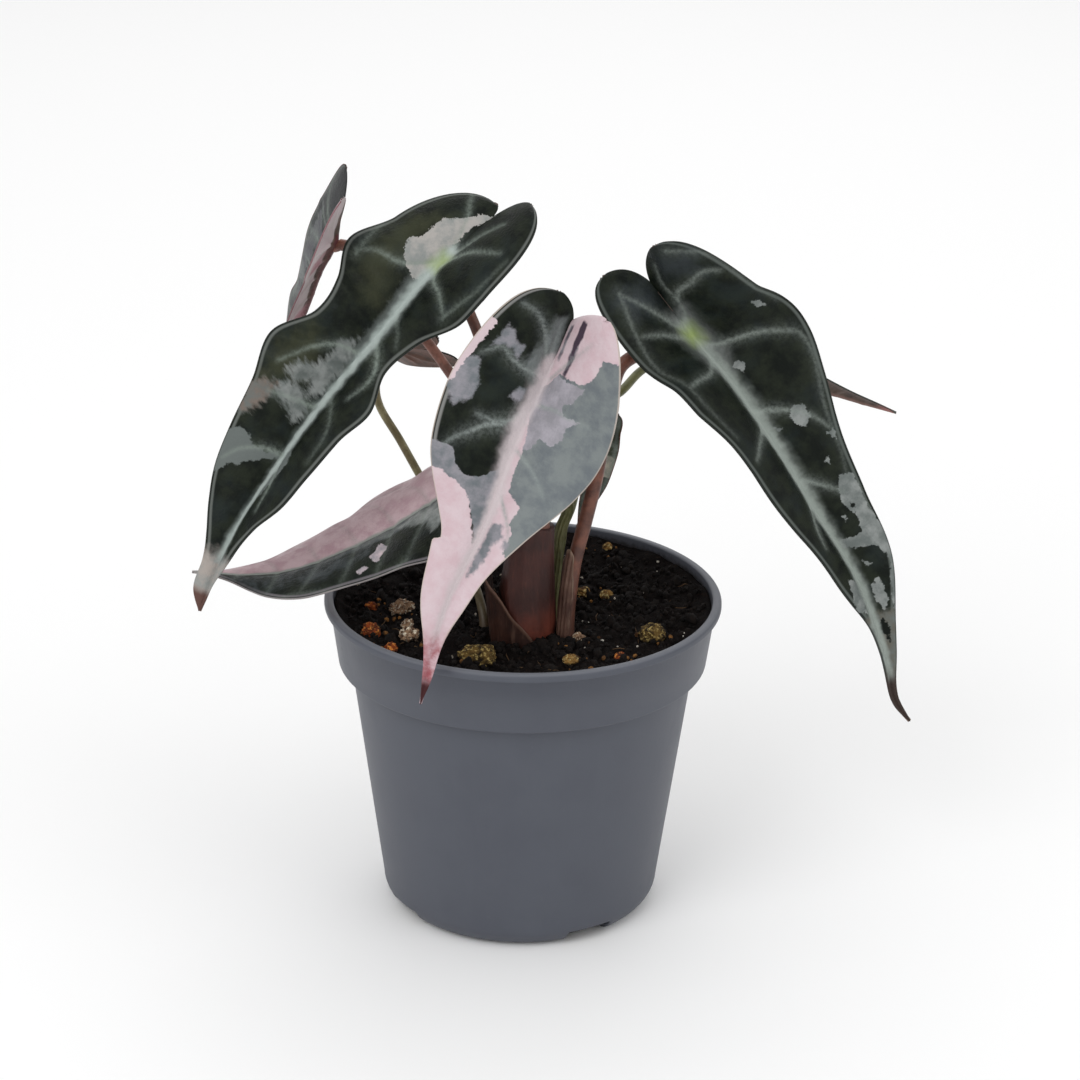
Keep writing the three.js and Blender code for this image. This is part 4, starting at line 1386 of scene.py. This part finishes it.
            (9.3, -10.2, 88), (9.2, -8.4, 104), (11.6, -7, 123.6), (13.9, -6, 129.9), (17.2, -4, 147),
            (21.2, -1, 160.1), (28, 4, 162.4), (34, 12, 166), (42, 19, 169),
        ],
        "petioleRadii": [1.7, 1.2],
        "veinStrength": 0.5,
        "layers": [
            patch("roseTip", "rose", wander=1, edge=3, outlines=[[(70, -8), (70, 8), (90, 8), (90, -8)]]),
        ],
        "colours": {"under": rgb(88, 74, 66), "underShade": rgb(66, 56, 52), "underRib": rgb(120, 94, 86),
                    "green": rgb(60, 52, 48),
                    "olive": rgb(78, 68, 60), "rose": rgb(150, 104, 100)},
    },
    "young": {
        "rib": [
            (25.2, 3, 156.5), (23.5, 3, 151.4), (22.4, 4, 144), (20.8, 4, 136), (19.1, 3, 129.3),
            (16, 1, 120.1),
        ],
        "heading": 0,
        "half": {"left": [5, 5, 4.2, 3, 2.2, 0], "right": [5.2, 5.6, 5.2, 4.4, 2.6, 0]},
        "tilt": {"left": [10, 10, 10, 10], "right": [10, 10, 10, 10]},
        "lobe": {"left": [1, 2.4], "right": [1, 2.4]},
        "sinus": 0.5,
        "arch": 0.05,
        "wave": 0,
        "waves": 1,
        "petiole": [(5.3, -13.1, 122), (6.2, -11.5, 129), (9, -6, 134), (14, 4, 139), (20, 8.5, 146)],
        "petioleRadii": [1.7, 1.2],
        "layers": [
            patch(
                "creamPatch", "cream", shade="sage", wander=1, edge=0.3,
                outlines=[[(7, -1), (9, 5), (15, 6), (16, -1)]],
            ),
        ],
        "colours": {"green": rgb(36, 42, 26), "olive": rgb(60, 62, 36), "edge": rgb(96, 44, 40)},
    },
}

paleColours = ("pink", "blush", "rose", "mauve", "maroon", "cream")  # patches that show underneath too

# a leaf's side veins where its own are not given: feet along the rib, as shares of its length
sideVeins = {"feet": (0.1, 0.25, 0.4, 0.55, 0.7, 0.84), "reach": 0.86, "forward": 0.45}


def bladePoints(leaf, side, at, out):
    # places on one half in mm, and how far they lie from the rib; at is 0 at the heel and 1 at the
    # joint, out is 0 on the rib or the sinus and 1 on the margin
    segments = len(leaf["rib"]) - 1
    whole = at / segments
    sign = 1 if side == "right" else -1
    nib = 2e-3
    centre = along(leaf["rib"], whole)
    run = along(leaf["rib"], np.minimum(whole + nib, 1)) - along(leaf["rib"], np.minimum(whole, 1 - nib))
    run /= np.linalg.norm(run, axis=1, keepdims=True)
    bearing = math.radians(leaf["heading"])
    level = np.array([math.cos(bearing), math.sin(bearing), 0])
    across = level - (run @ level)[:, None] * run
    across /= np.linalg.norm(across, axis=1, keepdims=True)
    face = np.cross(run, across)

    back = np.maximum(1 - at, 0)
    lobeLength, lobeEnd = leaf["lobe"][side]
    widths = leaf["half"][side]
    full = np.sqrt(np.maximum(1 - (back / lobeLength) ** blade["lobeFullness"], 0))
    opening = np.clip((back - leaf["sinus"]) / (lobeLength - leaf["sinus"]), 0, 1)
    inner = lobeEnd * (1 - np.sqrt(np.maximum(1 - opening ** blade["sinusRoundness"], 0)))
    lobeOuter = lobeEnd + (widths[0] - lobeEnd) * full
    outer = np.where(back > 0, lobeOuter, along(widths, (at - 1) / (segments - 1)))
    for nick in leaf.get("nicks", []):
        if nick["side"] == side:
            past = ribLengths(leaf, at) - nick["at"]
            spread = np.where(past < 0, nick["above"], nick["below"])
            outer = outer - nick["depth"] * np.exp(-((past / spread) ** 2))

    tilt = np.radians(along(leaf["tilt"][side], whole))[:, None]
    outwards = sign * across * np.cos(tilt) + face * np.sin(tilt)
    upwards = face * np.cos(tilt) - sign * across * np.sin(tilt)
    bulge = leaf["arch"] * (outer - inner) * np.sin(math.pi * out)
    phase = 0.5 if side == "right" else 0
    ripple = leaf["wave"] * out**2 * np.sin(2 * math.pi * (leaf["waves"] * whole + phase))
    ripple = ripple * np.clip((outer - inner) / 6, 0, 1)
    reach = inner + (outer - inner) * out
    return centre + outwards * reach[:, None] + upwards * (bulge + ripple)[:, None], sign * reach, outer


def ribLengths(leaf, at):
    # the distance along the rib from the joint, in mm
    segments = len(leaf["rib"]) - 1
    steps = np.linspace(0, segments, 1200)
    points = along(leaf["rib"], steps / segments)
    reach = np.concatenate([[0], np.cumsum(np.linalg.norm(np.diff(points, axis=0), axis=1))])
    return np.interp(at, steps, reach) - np.interp(1, steps, reach)


def rowPlaces(leaf, side):
    # the rows of one half from its lobe's end to the tip; both halves share those from the sinus on
    segments = len(leaf["rib"]) - 1
    lobeLength = leaf["lobe"][side][0]
    turn = np.sin(np.linspace(math.pi / 2, 0, blade["lobeRows"] + 1))[:-1]
    lobe = 1 - leaf["sinus"] - (lobeLength - leaf["sinus"]) * turn
    fold = np.linspace(1 - leaf["sinus"], 1, blade["foldRows"] + 1)[:-1]
    forward = round(ribLengths(leaf, segments) / blade["rowSpacing"])
    return np.concatenate([lobe, fold, np.linspace(1, segments, forward + 1)])


def bladeMesh(leaf):
    # two grids mapped to the halves and welded along the rib; plane holds the flattened place
    mesh = bmesh.new()
    plane = mesh.verts.layers.float_vector.new("plane")
    edge = mesh.verts.layers.float.new("margin")
    for side in ("left", "right"):
        rows = rowPlaces(leaf, side)
        made = bmesh.ops.create_grid(
            mesh, x_segments=len(rows) - 1, y_segments=blade["columns"], size=0.5,
        )["verts"]
        shares = np.array([(vert.co.x + 0.5, vert.co.y + 0.5) for vert in made])
        at = np.interp(shares[:, 0], np.linspace(0, 1, len(rows)), rows)
        out = shares[:, 1] ** 0.92
        points, across, outer = bladePoints(leaf, side, at, out)
        lengths = ribLengths(leaf, at)
        for vert, point, reach, length, limit in zip(made, points, across, lengths, outer):
            vert.co = Vector(point) * mm
            vert[plane] = Vector((reach, length, 0))
            vert[edge] = limit - abs(reach)
        if side == "left":
            faces = list({face for vert in made for face in vert.link_faces})
            bmesh.ops.reverse_faces(mesh, faces=faces)
    bmesh.ops.remove_doubles(mesh, verts=mesh.verts, dist=2e-6)
    return mesh


def lineDistance(places, route):
    # the distance of flattened places to a line through the route's points, and how far along it
    nearest = np.full(len(places), np.inf)
    passed = np.zeros(len(places))
    for number, (start, end) in enumerate(zip(route, route[1:])):
        start, end = np.array(start, float), np.array(end, float)
        step = end - start
        share = np.clip((places - start) @ step / max(step @ step, 1e-9), 0, 1)
        distance = np.linalg.norm(places - start - share[:, None] * step, axis=1)
        passed = np.where(distance < nearest, (number + share) / (len(route) - 1), passed)
        nearest = np.minimum(nearest, distance)
    return nearest, passed


def patchField(places, outlines):
    # signed distance to the nearest outline, positive inside
    field = np.full(len(places), -blade["farField"])
    for outline in outlines:
        closed = [*outline, outline[0]]
        inside = np.zeros(len(places), bool)
        for (a, b), (c, d) in zip(closed, closed[1:]):
            if a != c:
                crossed = (places[:, 0] > a) != (places[:, 0] > c)
                inside ^= crossed & (places[:, 1] < (d - b) * (places[:, 0] - a) / (c - a) + b)
        distance, _ = lineDistance(places, closed)
        field = np.maximum(field, np.where(inside, distance, -distance))
    return np.clip(field, -blade["farField"], blade["farField"])


def veinRoutes(leaf):
    # the leaf's own side veins, or plain ones that sweep forward to a line inside the margin
    if "veins" in leaf:
        return [smoothed(route) for route in leaf["veins"]]
    segments = len(leaf["rib"]) - 1
    length = float(ribLengths(leaf, segments))
    routes = []
    for side, sign in (("left", -1), ("right", 1)):
        widths = leaf["half"][side]
        margin = []
        for foot in sideVeins["feet"]:
            width = float(along(widths, foot)) * sideVeins["reach"]
            end = foot * length + width * sideVeins["forward"]
            bend = foot * length + width * sideVeins["forward"] * 0.3
            routes.append(smoothed([(foot * length, 0), (bend, sign * width * 0.5), (end, sign * width)]))
            margin.append((end, sign * width))
        heel = float(ribLengths(leaf, 0))
        lobeEnd = leaf["lobe"][side][1] * 1.3
        turning = (heel * 0.4, sign * lobeEnd * 0.9)
        routes.append(smoothed([(0, 0), turning, (heel * 0.8, sign * lobeEnd * 1.1)]))
        routes.append(smoothed([(0, 0), (-1, sign * widths[0] * 0.5), (-3, sign * widths[0] * 0.85)]))
        routes.append(smoothed(margin))
    return routes


def smoothed(route):
    return [tuple(point) for point in along(route, np.linspace(0, 1, 6 * len(route)))]


def fill(data, name, values):
    made = data.attributes.get(name) or data.attributes.new(name, "FLOAT", "POINT")
    made.data.foreach_set("value", np.asarray(values, np.float32))


def readPlaces(data):
    flat = np.empty(len(data.vertices) * 3, np.float32)
    data.attributes["plane"].data.foreach_get("vector", flat)
    across, length = flat.reshape(-1, 3)[:, 0], flat.reshape(-1, 3)[:, 1]
    return np.stack([length, across], axis=1).astype(float)


def drawBlade(made, leaf):
    # veins and patches as attributes, the relief that follows them, and the flesh under the ribs
    data = made.data
    places = readPlaces(data)
    length = places[:, 0].max()
    forward = np.clip(places[:, 0] / length, 0, 1)
    widest, thinnest = leaf.get("midribWidth", blade["midribWidth"])
    scale = min(1, length / 90)
    midrib = smoothed(leaf.get("midrib", [(-2, 0), (length / 2, 0), (length, 0)]))
    ribDistance, _ = lineDistance(places, midrib)
    rib = ribDistance / ((widest + (thinnest - widest) * forward) * scale)
    core = np.zeros(len(places))
    halo = np.zeros(len(places))
    vein = np.full(len(places), blade["farField"])
    strong, weak = blade["veinFade"]
    coreWidth = leaf.get("veinCore", blade["veinCore"])
    haloWidth = leaf.get("veinHalo", blade["veinHalo"])
    faint = [smoothed(route) for route in leaf.get("faintVeins", [])]
    routes = [(route, 1) for route in veinRoutes(leaf)] + [(route, 0.4) for route in faint]
    for route, strength in routes:
        distance, passed = lineDistance(places, route)
        fade = strength * (strong + (weak - strong) * passed)
        core = np.maximum(core, fade * np.exp(-((distance / coreWidth) ** 2)))
        halo = np.maximum(halo, fade * np.exp(-((distance / (haloWidth * (1.2 - 0.5 * passed))) ** 2)))
        vein = np.minimum(vein, distance)
    fill(data, "rib", np.minimum(rib, 6))
    fill(data, "core", core * leaf.get("veinStrength", 1))
    fill(data, "halo", halo * leaf.get("veinStrength", 1))
    for layer in leaf["layers"]:
        fill(data, layer["name"], patchField(places, layer["outlines"]))

    margin = np.empty(len(places), np.float32)
    data.attributes["margin"].data.foreach_get("value", margin)
    calm = np.clip(margin / 4, 0, 1)
    groove = blade["ribGroove"] * np.exp(-(rib**2)) + blade["veinGroove"] * np.sqrt(core * halo) * calm
    between = np.minimum(vein, ribDistance)
    quilt = blade["quilting"] * np.sin(np.clip(between / 6, 0, 1) * math.pi / 2) * calm
    relief = blade["topLift"] + (quilt - groove) * scale * leaf.get("reliefShare", 1)
    relief = relief * (1 - 0.85 * forward**2)
    for crease in leaf.get("creases", []):
        apart = places - np.array(crease["at"])
        turn = math.radians(crease["turn"])
        phase = 2 * math.pi * (apart @ np.array([math.cos(turn), math.sin(turn)])) / crease["period"]
        faded = np.exp(-((np.linalg.norm(apart, axis=1) / crease["reach"]) ** 2)) * calm
        relief = relief + crease["height"] * faded * np.sin(phase + 0.12 * places[:, 1])
    normals = np.empty(len(places) * 3, np.float32)
    data.vertices.foreach_get("normal", normals)
    points = np.empty(len(places) * 3, np.float32)
    data.vertices.foreach_get("co", points)
    points += normals * np.repeat(relief * mm, 3)
    data.vertices.foreach_set("co", points)
    data.update()

    thin = blade["marginThickness"] / blade["ribThickness"]
    centre = np.abs(places[:, 1]) / ((widest + (thinnest - widest) * forward) * scale)
    behind = np.clip(1 + places[:, 0] / 9, 0, 1)
    flesh = thin + (1 - thin) * np.exp(-((centre / 1.1) ** 2)) * (1 - 0.75 * forward) * behind * scale
    flesh = np.maximum(flesh, thin + 0.25 * core * calm)
    group = made.vertex_groups.new(name="flesh")
    for index, weight in enumerate(flesh):
        group.add([index], float(weight), "REPLACE")
    thick = made.modifiers.new("thickness", "SOLIDIFY")
    thick.thickness = blade["ribThickness"] * mm
    thick.offset = -1
    thick.vertex_group = "flesh"
    thick.thickness_vertex_group = 0
    thick.material_offset = 1


def layered(tree, leaf, colours, colour, plane, skin, strength, over):
    # the leaf's patches laid over a colour, those marked over only after the veins
    for layer in leaf["layers"]:
        if layer.get("over", False) != over:
            continue
        grain = plane
        if "streak" in layer:
            turn = (0, 0, math.radians(layer["streak"]))
            turned = {"Vector": plane, "Rotation": turn, "Scale": (2.4, 0.8, 1)}
            grain = addNode(tree, "ShaderNodeMapping", turned, vector_type="TEXTURE").outputs[0]
        inputs = {
            "Field": attribute(tree, layer["name"]),
            "Plane": grain,
            "Scale": layer.get("scale", 0.3),
            "Wander": layer["wander"],
            "Edge": layer.get("edge", 0.3),
        }
        mask = useGroup(tree, raggedPatch, inputs)["Mask"]
        mask = maths(tree, "MULTIPLY", mask, layer.get("strength", 1.0) * strength)
        tone = colours[layer["colour"]]
        if "shade" in layer:
            tone = blend(tree, skin["Wander"], tone, colours[layer["shade"]])
        colour = blend(tree, mask, colour, tone)
    return colour


def bladeFinish(name, leaf):
    material, tree, shader = newMaterial(name + "BladeTop", **{"Specular IOR Level": 0.1})
    plane = attribute(tree, "plane", "Vector")
    skin = useGroup(tree, leafSkin, {"Plane": plane})
    colours = {**leafColours, **leaf["colours"]}
    colour = blend(tree, skin["Wander"], colours["green"], colours["olive"])
    cast = ramp(tree, cloud(tree, plane, 0.07, 3.0, 0.6), 0.45, 0.7, 0.0, 0.5)
    colour = blend(tree, cast, colour, colours["cast"])
    rib = useGroup(tree, veinBand, {"Distance": attribute(tree, "rib"), "Plane": plane, "Spread": 2.0})
    halo = maths(tree, "MULTIPLY", attribute(tree, "halo"), ramp(tree, skin["Grain"], 0.1, 0.9, 0.16, 0.44))
    colour = blend(tree, halo, colour, colours["vein"])
    colour = blend(tree, maths(tree, "MULTIPLY", rib["Halo"], 0.46), colour, colours["rib"])
    margin = attribute(tree, "margin")
    inner = maths(tree, "MULTIPLY", ramp(tree, margin, 0.5, 0.9), ramp(tree, margin, 1.2, 1.9, 0.75, 0.0))
    colour = blend(tree, inner, colour, colours["margin"])
    colour = layered(tree, leaf, colours, colour, plane, skin, 1.0, False)
    side = maths(tree, "MULTIPLY", attribute(tree, "core"), ramp(tree, skin["Grain"], 0.1, 0.8, 0.55, 0.95))
    colour = blend(tree, side, colour, colours["vein"])
    colour = blend(tree, maths(tree, "MULTIPLY", rib["Core"], 0.9), colour, colours["rib"])
    colour = blend(tree, ramp(tree, margin, 0.12, 0.45, 0.8, 0.0), colour, colours["edge"])
    colour = layered(tree, leaf, colours, colour, plane, skin, 1.0, True)
    tree.links.new(colour, shader.inputs["Base Color"])
    tree.links.new(ramp(tree, skin["Wander"], 0.0, 1.0, 0.36, 0.5), shader.inputs["Roughness"])
    height = maths(tree, "ADD", skin["Pebbles"], maths(tree, "MULTIPLY", skin["Grain"], 0.5))
    bumped(tree, shader, height, 0.0002, 0.5)
    return material


def undersideFinish(name, leaf):
    finish = {"Roughness": 0.55, "Specular IOR Level": 0.2}
    material, tree, shader = newMaterial(name + "BladeUnder", **finish)
    plane = attribute(tree, "plane", "Vector")
    skin = useGroup(tree, leafSkin, {"Plane": plane})
    colours = {**leafColours, **leaf["colours"]}
    colour = blend(tree, skin["Wander"], colours["under"], colours["underShade"])
    rib = useGroup(tree, veinBand, {"Distance": attribute(tree, "rib"), "Plane": plane, "Spread": 2.0})
    lines = maths(tree, "MAXIMUM", rib["Core"], maths(tree, "MULTIPLY", attribute(tree, "core"), 0.7))
    colour = blend(tree, lines, colour, colours["underRib"])
    pale = {**leaf, "layers": [layer for layer in leaf["layers"] if layer["colour"] in paleColours]}
    colour = layered(tree, pale, colours, colour, plane, skin, 0.85, False)
    tree.links.new(colour, shader.inputs["Base Color"])
    bumped(tree, shader, skin["Pebbles"], 0.00015, 0.5)
    return material


def makeBlades():
    for name, leaf in leaves.items():
        finishes = [bladeFinish(name, leaf), undersideFinish(name, leaf)]
        node = name + "_leaf_blade"
        made = addPiece(name + "Blade", bladeMesh(leaf), finishes, [node])
        drawBlade(made, leaf)
        print(name, "blade made:", len(made.data.vertices), "vertices")


makeBlades()


# the petioles: tubes that swell where they leave the stem and where they meet the blade

petiole = {
    "spacing": 1.0,
    "sides": 24,
    "footSwell": 0.35,
    "jointSwell": 0.25,
    "reach": 9,
    "footColour": rgb(60, 38, 30),
}

petioleLooks = {
    "rust": {"slot": "petiole_red", "colour": rgb(124, 76, 58), "shade": rgb(76, 44, 34)},
    "red": {"slot": "petiole_red", "colour": rgb(158, 106, 90), "shade": rgb(102, 64, 52)},
    "fresh": {"slot": "petiole_green", "colour": rgb(112, 114, 70), "shade": rgb(72, 76, 40)},
    "green": {"slot": "petiole_green", "colour": rgb(150, 144, 106), "shade": rgb(108, 98, 64)},
}

petioleKinds = {"right": "rust", "left": "rust", "rear": "green", "side": "fresh", "young": "fresh"}


def petioleFinish(name, looks):
    material, tree, shader = newMaterial(name + "Petiole", Roughness=0.45)
    place = objectPlace(tree)
    skin = useGroup(tree, speckle, {"Vector": place, "Scale": 180.0, "Fine Scale": 1400.0})
    flecks = ramp(tree, cloud(tree, place, 900.0, 2.0, 0.6), 0.62, 0.7, 0.0, 0.45)
    colour = blend(tree, skin["Wander"], looks["colour"], looks["shade"])
    colour = blend(tree, flecks, colour, looks["shade"])
    height = heightOf(tree, place)
    colour = blend(tree, ramp(tree, height, 0.094, 0.114, 0.85, 0.0), colour, petiole["footColour"])
    tree.links.new(colour, shader.inputs["Base Color"])
    bumped(tree, shader, skin["Height"], 0.0001, 0.5)
    return material


def petioleMesh(leaf):
    # up to the blade's underside at the joint, then on under the rib until it is lost in it
    route = [Vector(point) for point in leaf["petiole"]]
    segments = len(leaf["rib"]) - 1
    ribAt = np.array([1, 1.1, 1.2])
    centre, _, _ = bladePoints(leaf, "right", ribAt, np.zeros(3))
    left, _, _ = bladePoints(leaf, "left", ribAt, np.full(3, 0.1))
    right, _, _ = bladePoints(leaf, "right", ribAt, np.full(3, 0.1))
    run = along(leaf["rib"], (ribAt + 0.02) / segments) - centre
    face = np.cross(run, right - left)
    face /= np.linalg.norm(face, axis=1, keepdims=True)
    width = leaf["petioleRadii"][1]
    sunk = centre - face * width * np.array([1.75, 1.15, 0.6])[:, None]
    route += [Vector(point) for point in sunk]
    length = sum((b - a).length for a, b in zip(route, route[1:]))
    count = round(length / petiole["spacing"])
    centres = routePoints(route, count)
    tail = (Vector(sunk[2]) - Vector(sunk[0])).length
    radii = []
    for i in range(count):
        done = i / (count - 1) * length
        remaining = max(0, length - done - tail)
        foot = petiole["footSwell"] * math.exp(-((done / petiole["reach"]) ** 2))
        top = petiole["jointSwell"] * math.exp(-((remaining / petiole["reach"]) ** 2))
        taper = min(1, (length - done) / tail)
        radius = float(along(leaf["petioleRadii"], i / (count - 1))) * (1 + foot + top)
        radii.append(radius * (0.35 + 0.65 * taper**0.7))
    mesh = bmesh.new()
    sweep(mesh, centres, radii, petiole["sides"])
    bmesh.ops.recalc_face_normals(mesh, faces=mesh.faces)
    return mesh


def makePetioles():
    finishes = {name: petioleFinish(name, looks) for name, looks in petioleLooks.items()}
    for name, leaf in leaves.items():
        kind = petioleKinds.get(name, "red")
        node = name + "_leaf_petiole"
        addPiece(name + "Petiole", petioleMesh(leaf), [finishes[kind]], [node])


makePetioles()
print("petioles swept")


# old sheaths: flaps wrapped part of the way round the feet of the stem and of two petioles

sheaths = {
    "stemFlap": {
        "axis": stem["axis"],
        "radius": 9.8,
        "turn": (150, 300),
        "low": 90,
        "tops": [111, 112, 111.5, 108, 102.5, 98, 93],
        "flare": [2.6, 3.4, 3.0, 1.8, 0.8, 0.3, 0.1],
        "colour": rgb(60, 36, 28),
        "shade": rgb(40, 24, 20),
        "edge": rgb(120, 92, 78),
    },
    "greenFlap": {
        "axis": leaves["side"]["petiole"],
        "radius": 1.8,
        "turn": (150, 330),
        "low": 92,
        "tops": [112, 124, 131, 133, 130, 118],
        "flare": [0.2, 0.5, 0.9, 0.9, 0.5, 0.2],
        "colour": rgb(112, 112, 76),
        "shade": rgb(80, 82, 48),
        "edge": rgb(162, 160, 130),
    },
    "petioleFlap": {
        "axis": leaves["right"]["petiole"],
        "radius": 2.7,
        "turn": (130, 290),
        "low": 90,
        "tops": [104, 112, 118, 120, 117, 106],
        "flare": [0.2, 0.5, 0.8, 0.7, 0.4, 0.2],
        "colour": rgb(104, 78, 66),
        "shade": rgb(72, 48, 40),
        "edge": rgb(150, 128, 110),
    },
}


def sheathMesh(sheath):
    # a grid bent round the axis: across it the turn, up it the height to a slanting top
    mesh = bmesh.new()
    edge = mesh.verts.layers.float.new("edge")
    made = bmesh.ops.create_grid(mesh, x_segments=64, y_segments=48, size=0.5)["verts"]
    axis = np.array([tuple(point) for point in routePoints(sheath["axis"], 120)])
    start, end = sheath["turn"]
    for vert in made:
        across, up = vert.co.x + 0.5, vert.co.y + 0.5
        angle = math.radians(start + (end - start) * across)
        top = float(along(sheath["tops"], across)) + 0.5 * fractal.noise(Vector((across * 9, 2, 5)))
        height = sheath["low"] + (top - sheath["low"]) * up
        middle = [float(np.interp(height, axis[:, 2], axis[:, i])) for i in (0, 1)]
        ridge = 0.12 * math.sin(across * 40 + up) + 0.25 * fractal.noise(Vector((across * 4, up * 3, 1)))
        radius = sheath["radius"] + float(along(sheath["flare"], across)) * up**1.5 + ridge
        x = middle[0] + radius * math.cos(angle)
        y = middle[1] + radius * math.sin(angle)
        vert.co = Vector((x, y, height)) * mm
        vert[edge] = top - height
    return mesh


def sheathFinish(name, sheath):
    material, tree, shader = newMaterial(name + "Skin", **{"Roughness": 0.55, "Specular IOR Level": 0.25})
    place = objectPlace(tree)
    strands = cloud(tree, drawnOut(tree, place), 900.0, 3.0, 0.6)
    skin = useGroup(tree, speckle, {"Vector": place, "Scale": 140.0, "Fine Scale": 1200.0})
    colour = blend(tree, skin["Wander"], sheath["colour"], sheath["shade"])
    colour = blend(tree, ramp(tree, strands, 0.5, 0.8, 0.0, 0.35), colour, sheath["edge"])
    colour = blend(tree, ramp(tree, attribute(tree, "edge"), 0.3, 1.6, 0.6, 0.0), colour, sheath["edge"])
    tree.links.new(colour, shader.inputs["Base Color"])
    bumped(tree, shader, strands, 0.0003)
    return material


def makeSheaths():
    for name, sheath in sheaths.items():
        made = addPiece(name, sheathMesh(sheath), [sheathFinish(name, sheath)])
        wall = made.modifiers.new("wall", "SOLIDIFY")
        wall.thickness = 0.5 * mm
        wall.offset = -1


makeSheaths()
print("sheaths wrapped")

bpy.context.view_layer.update()
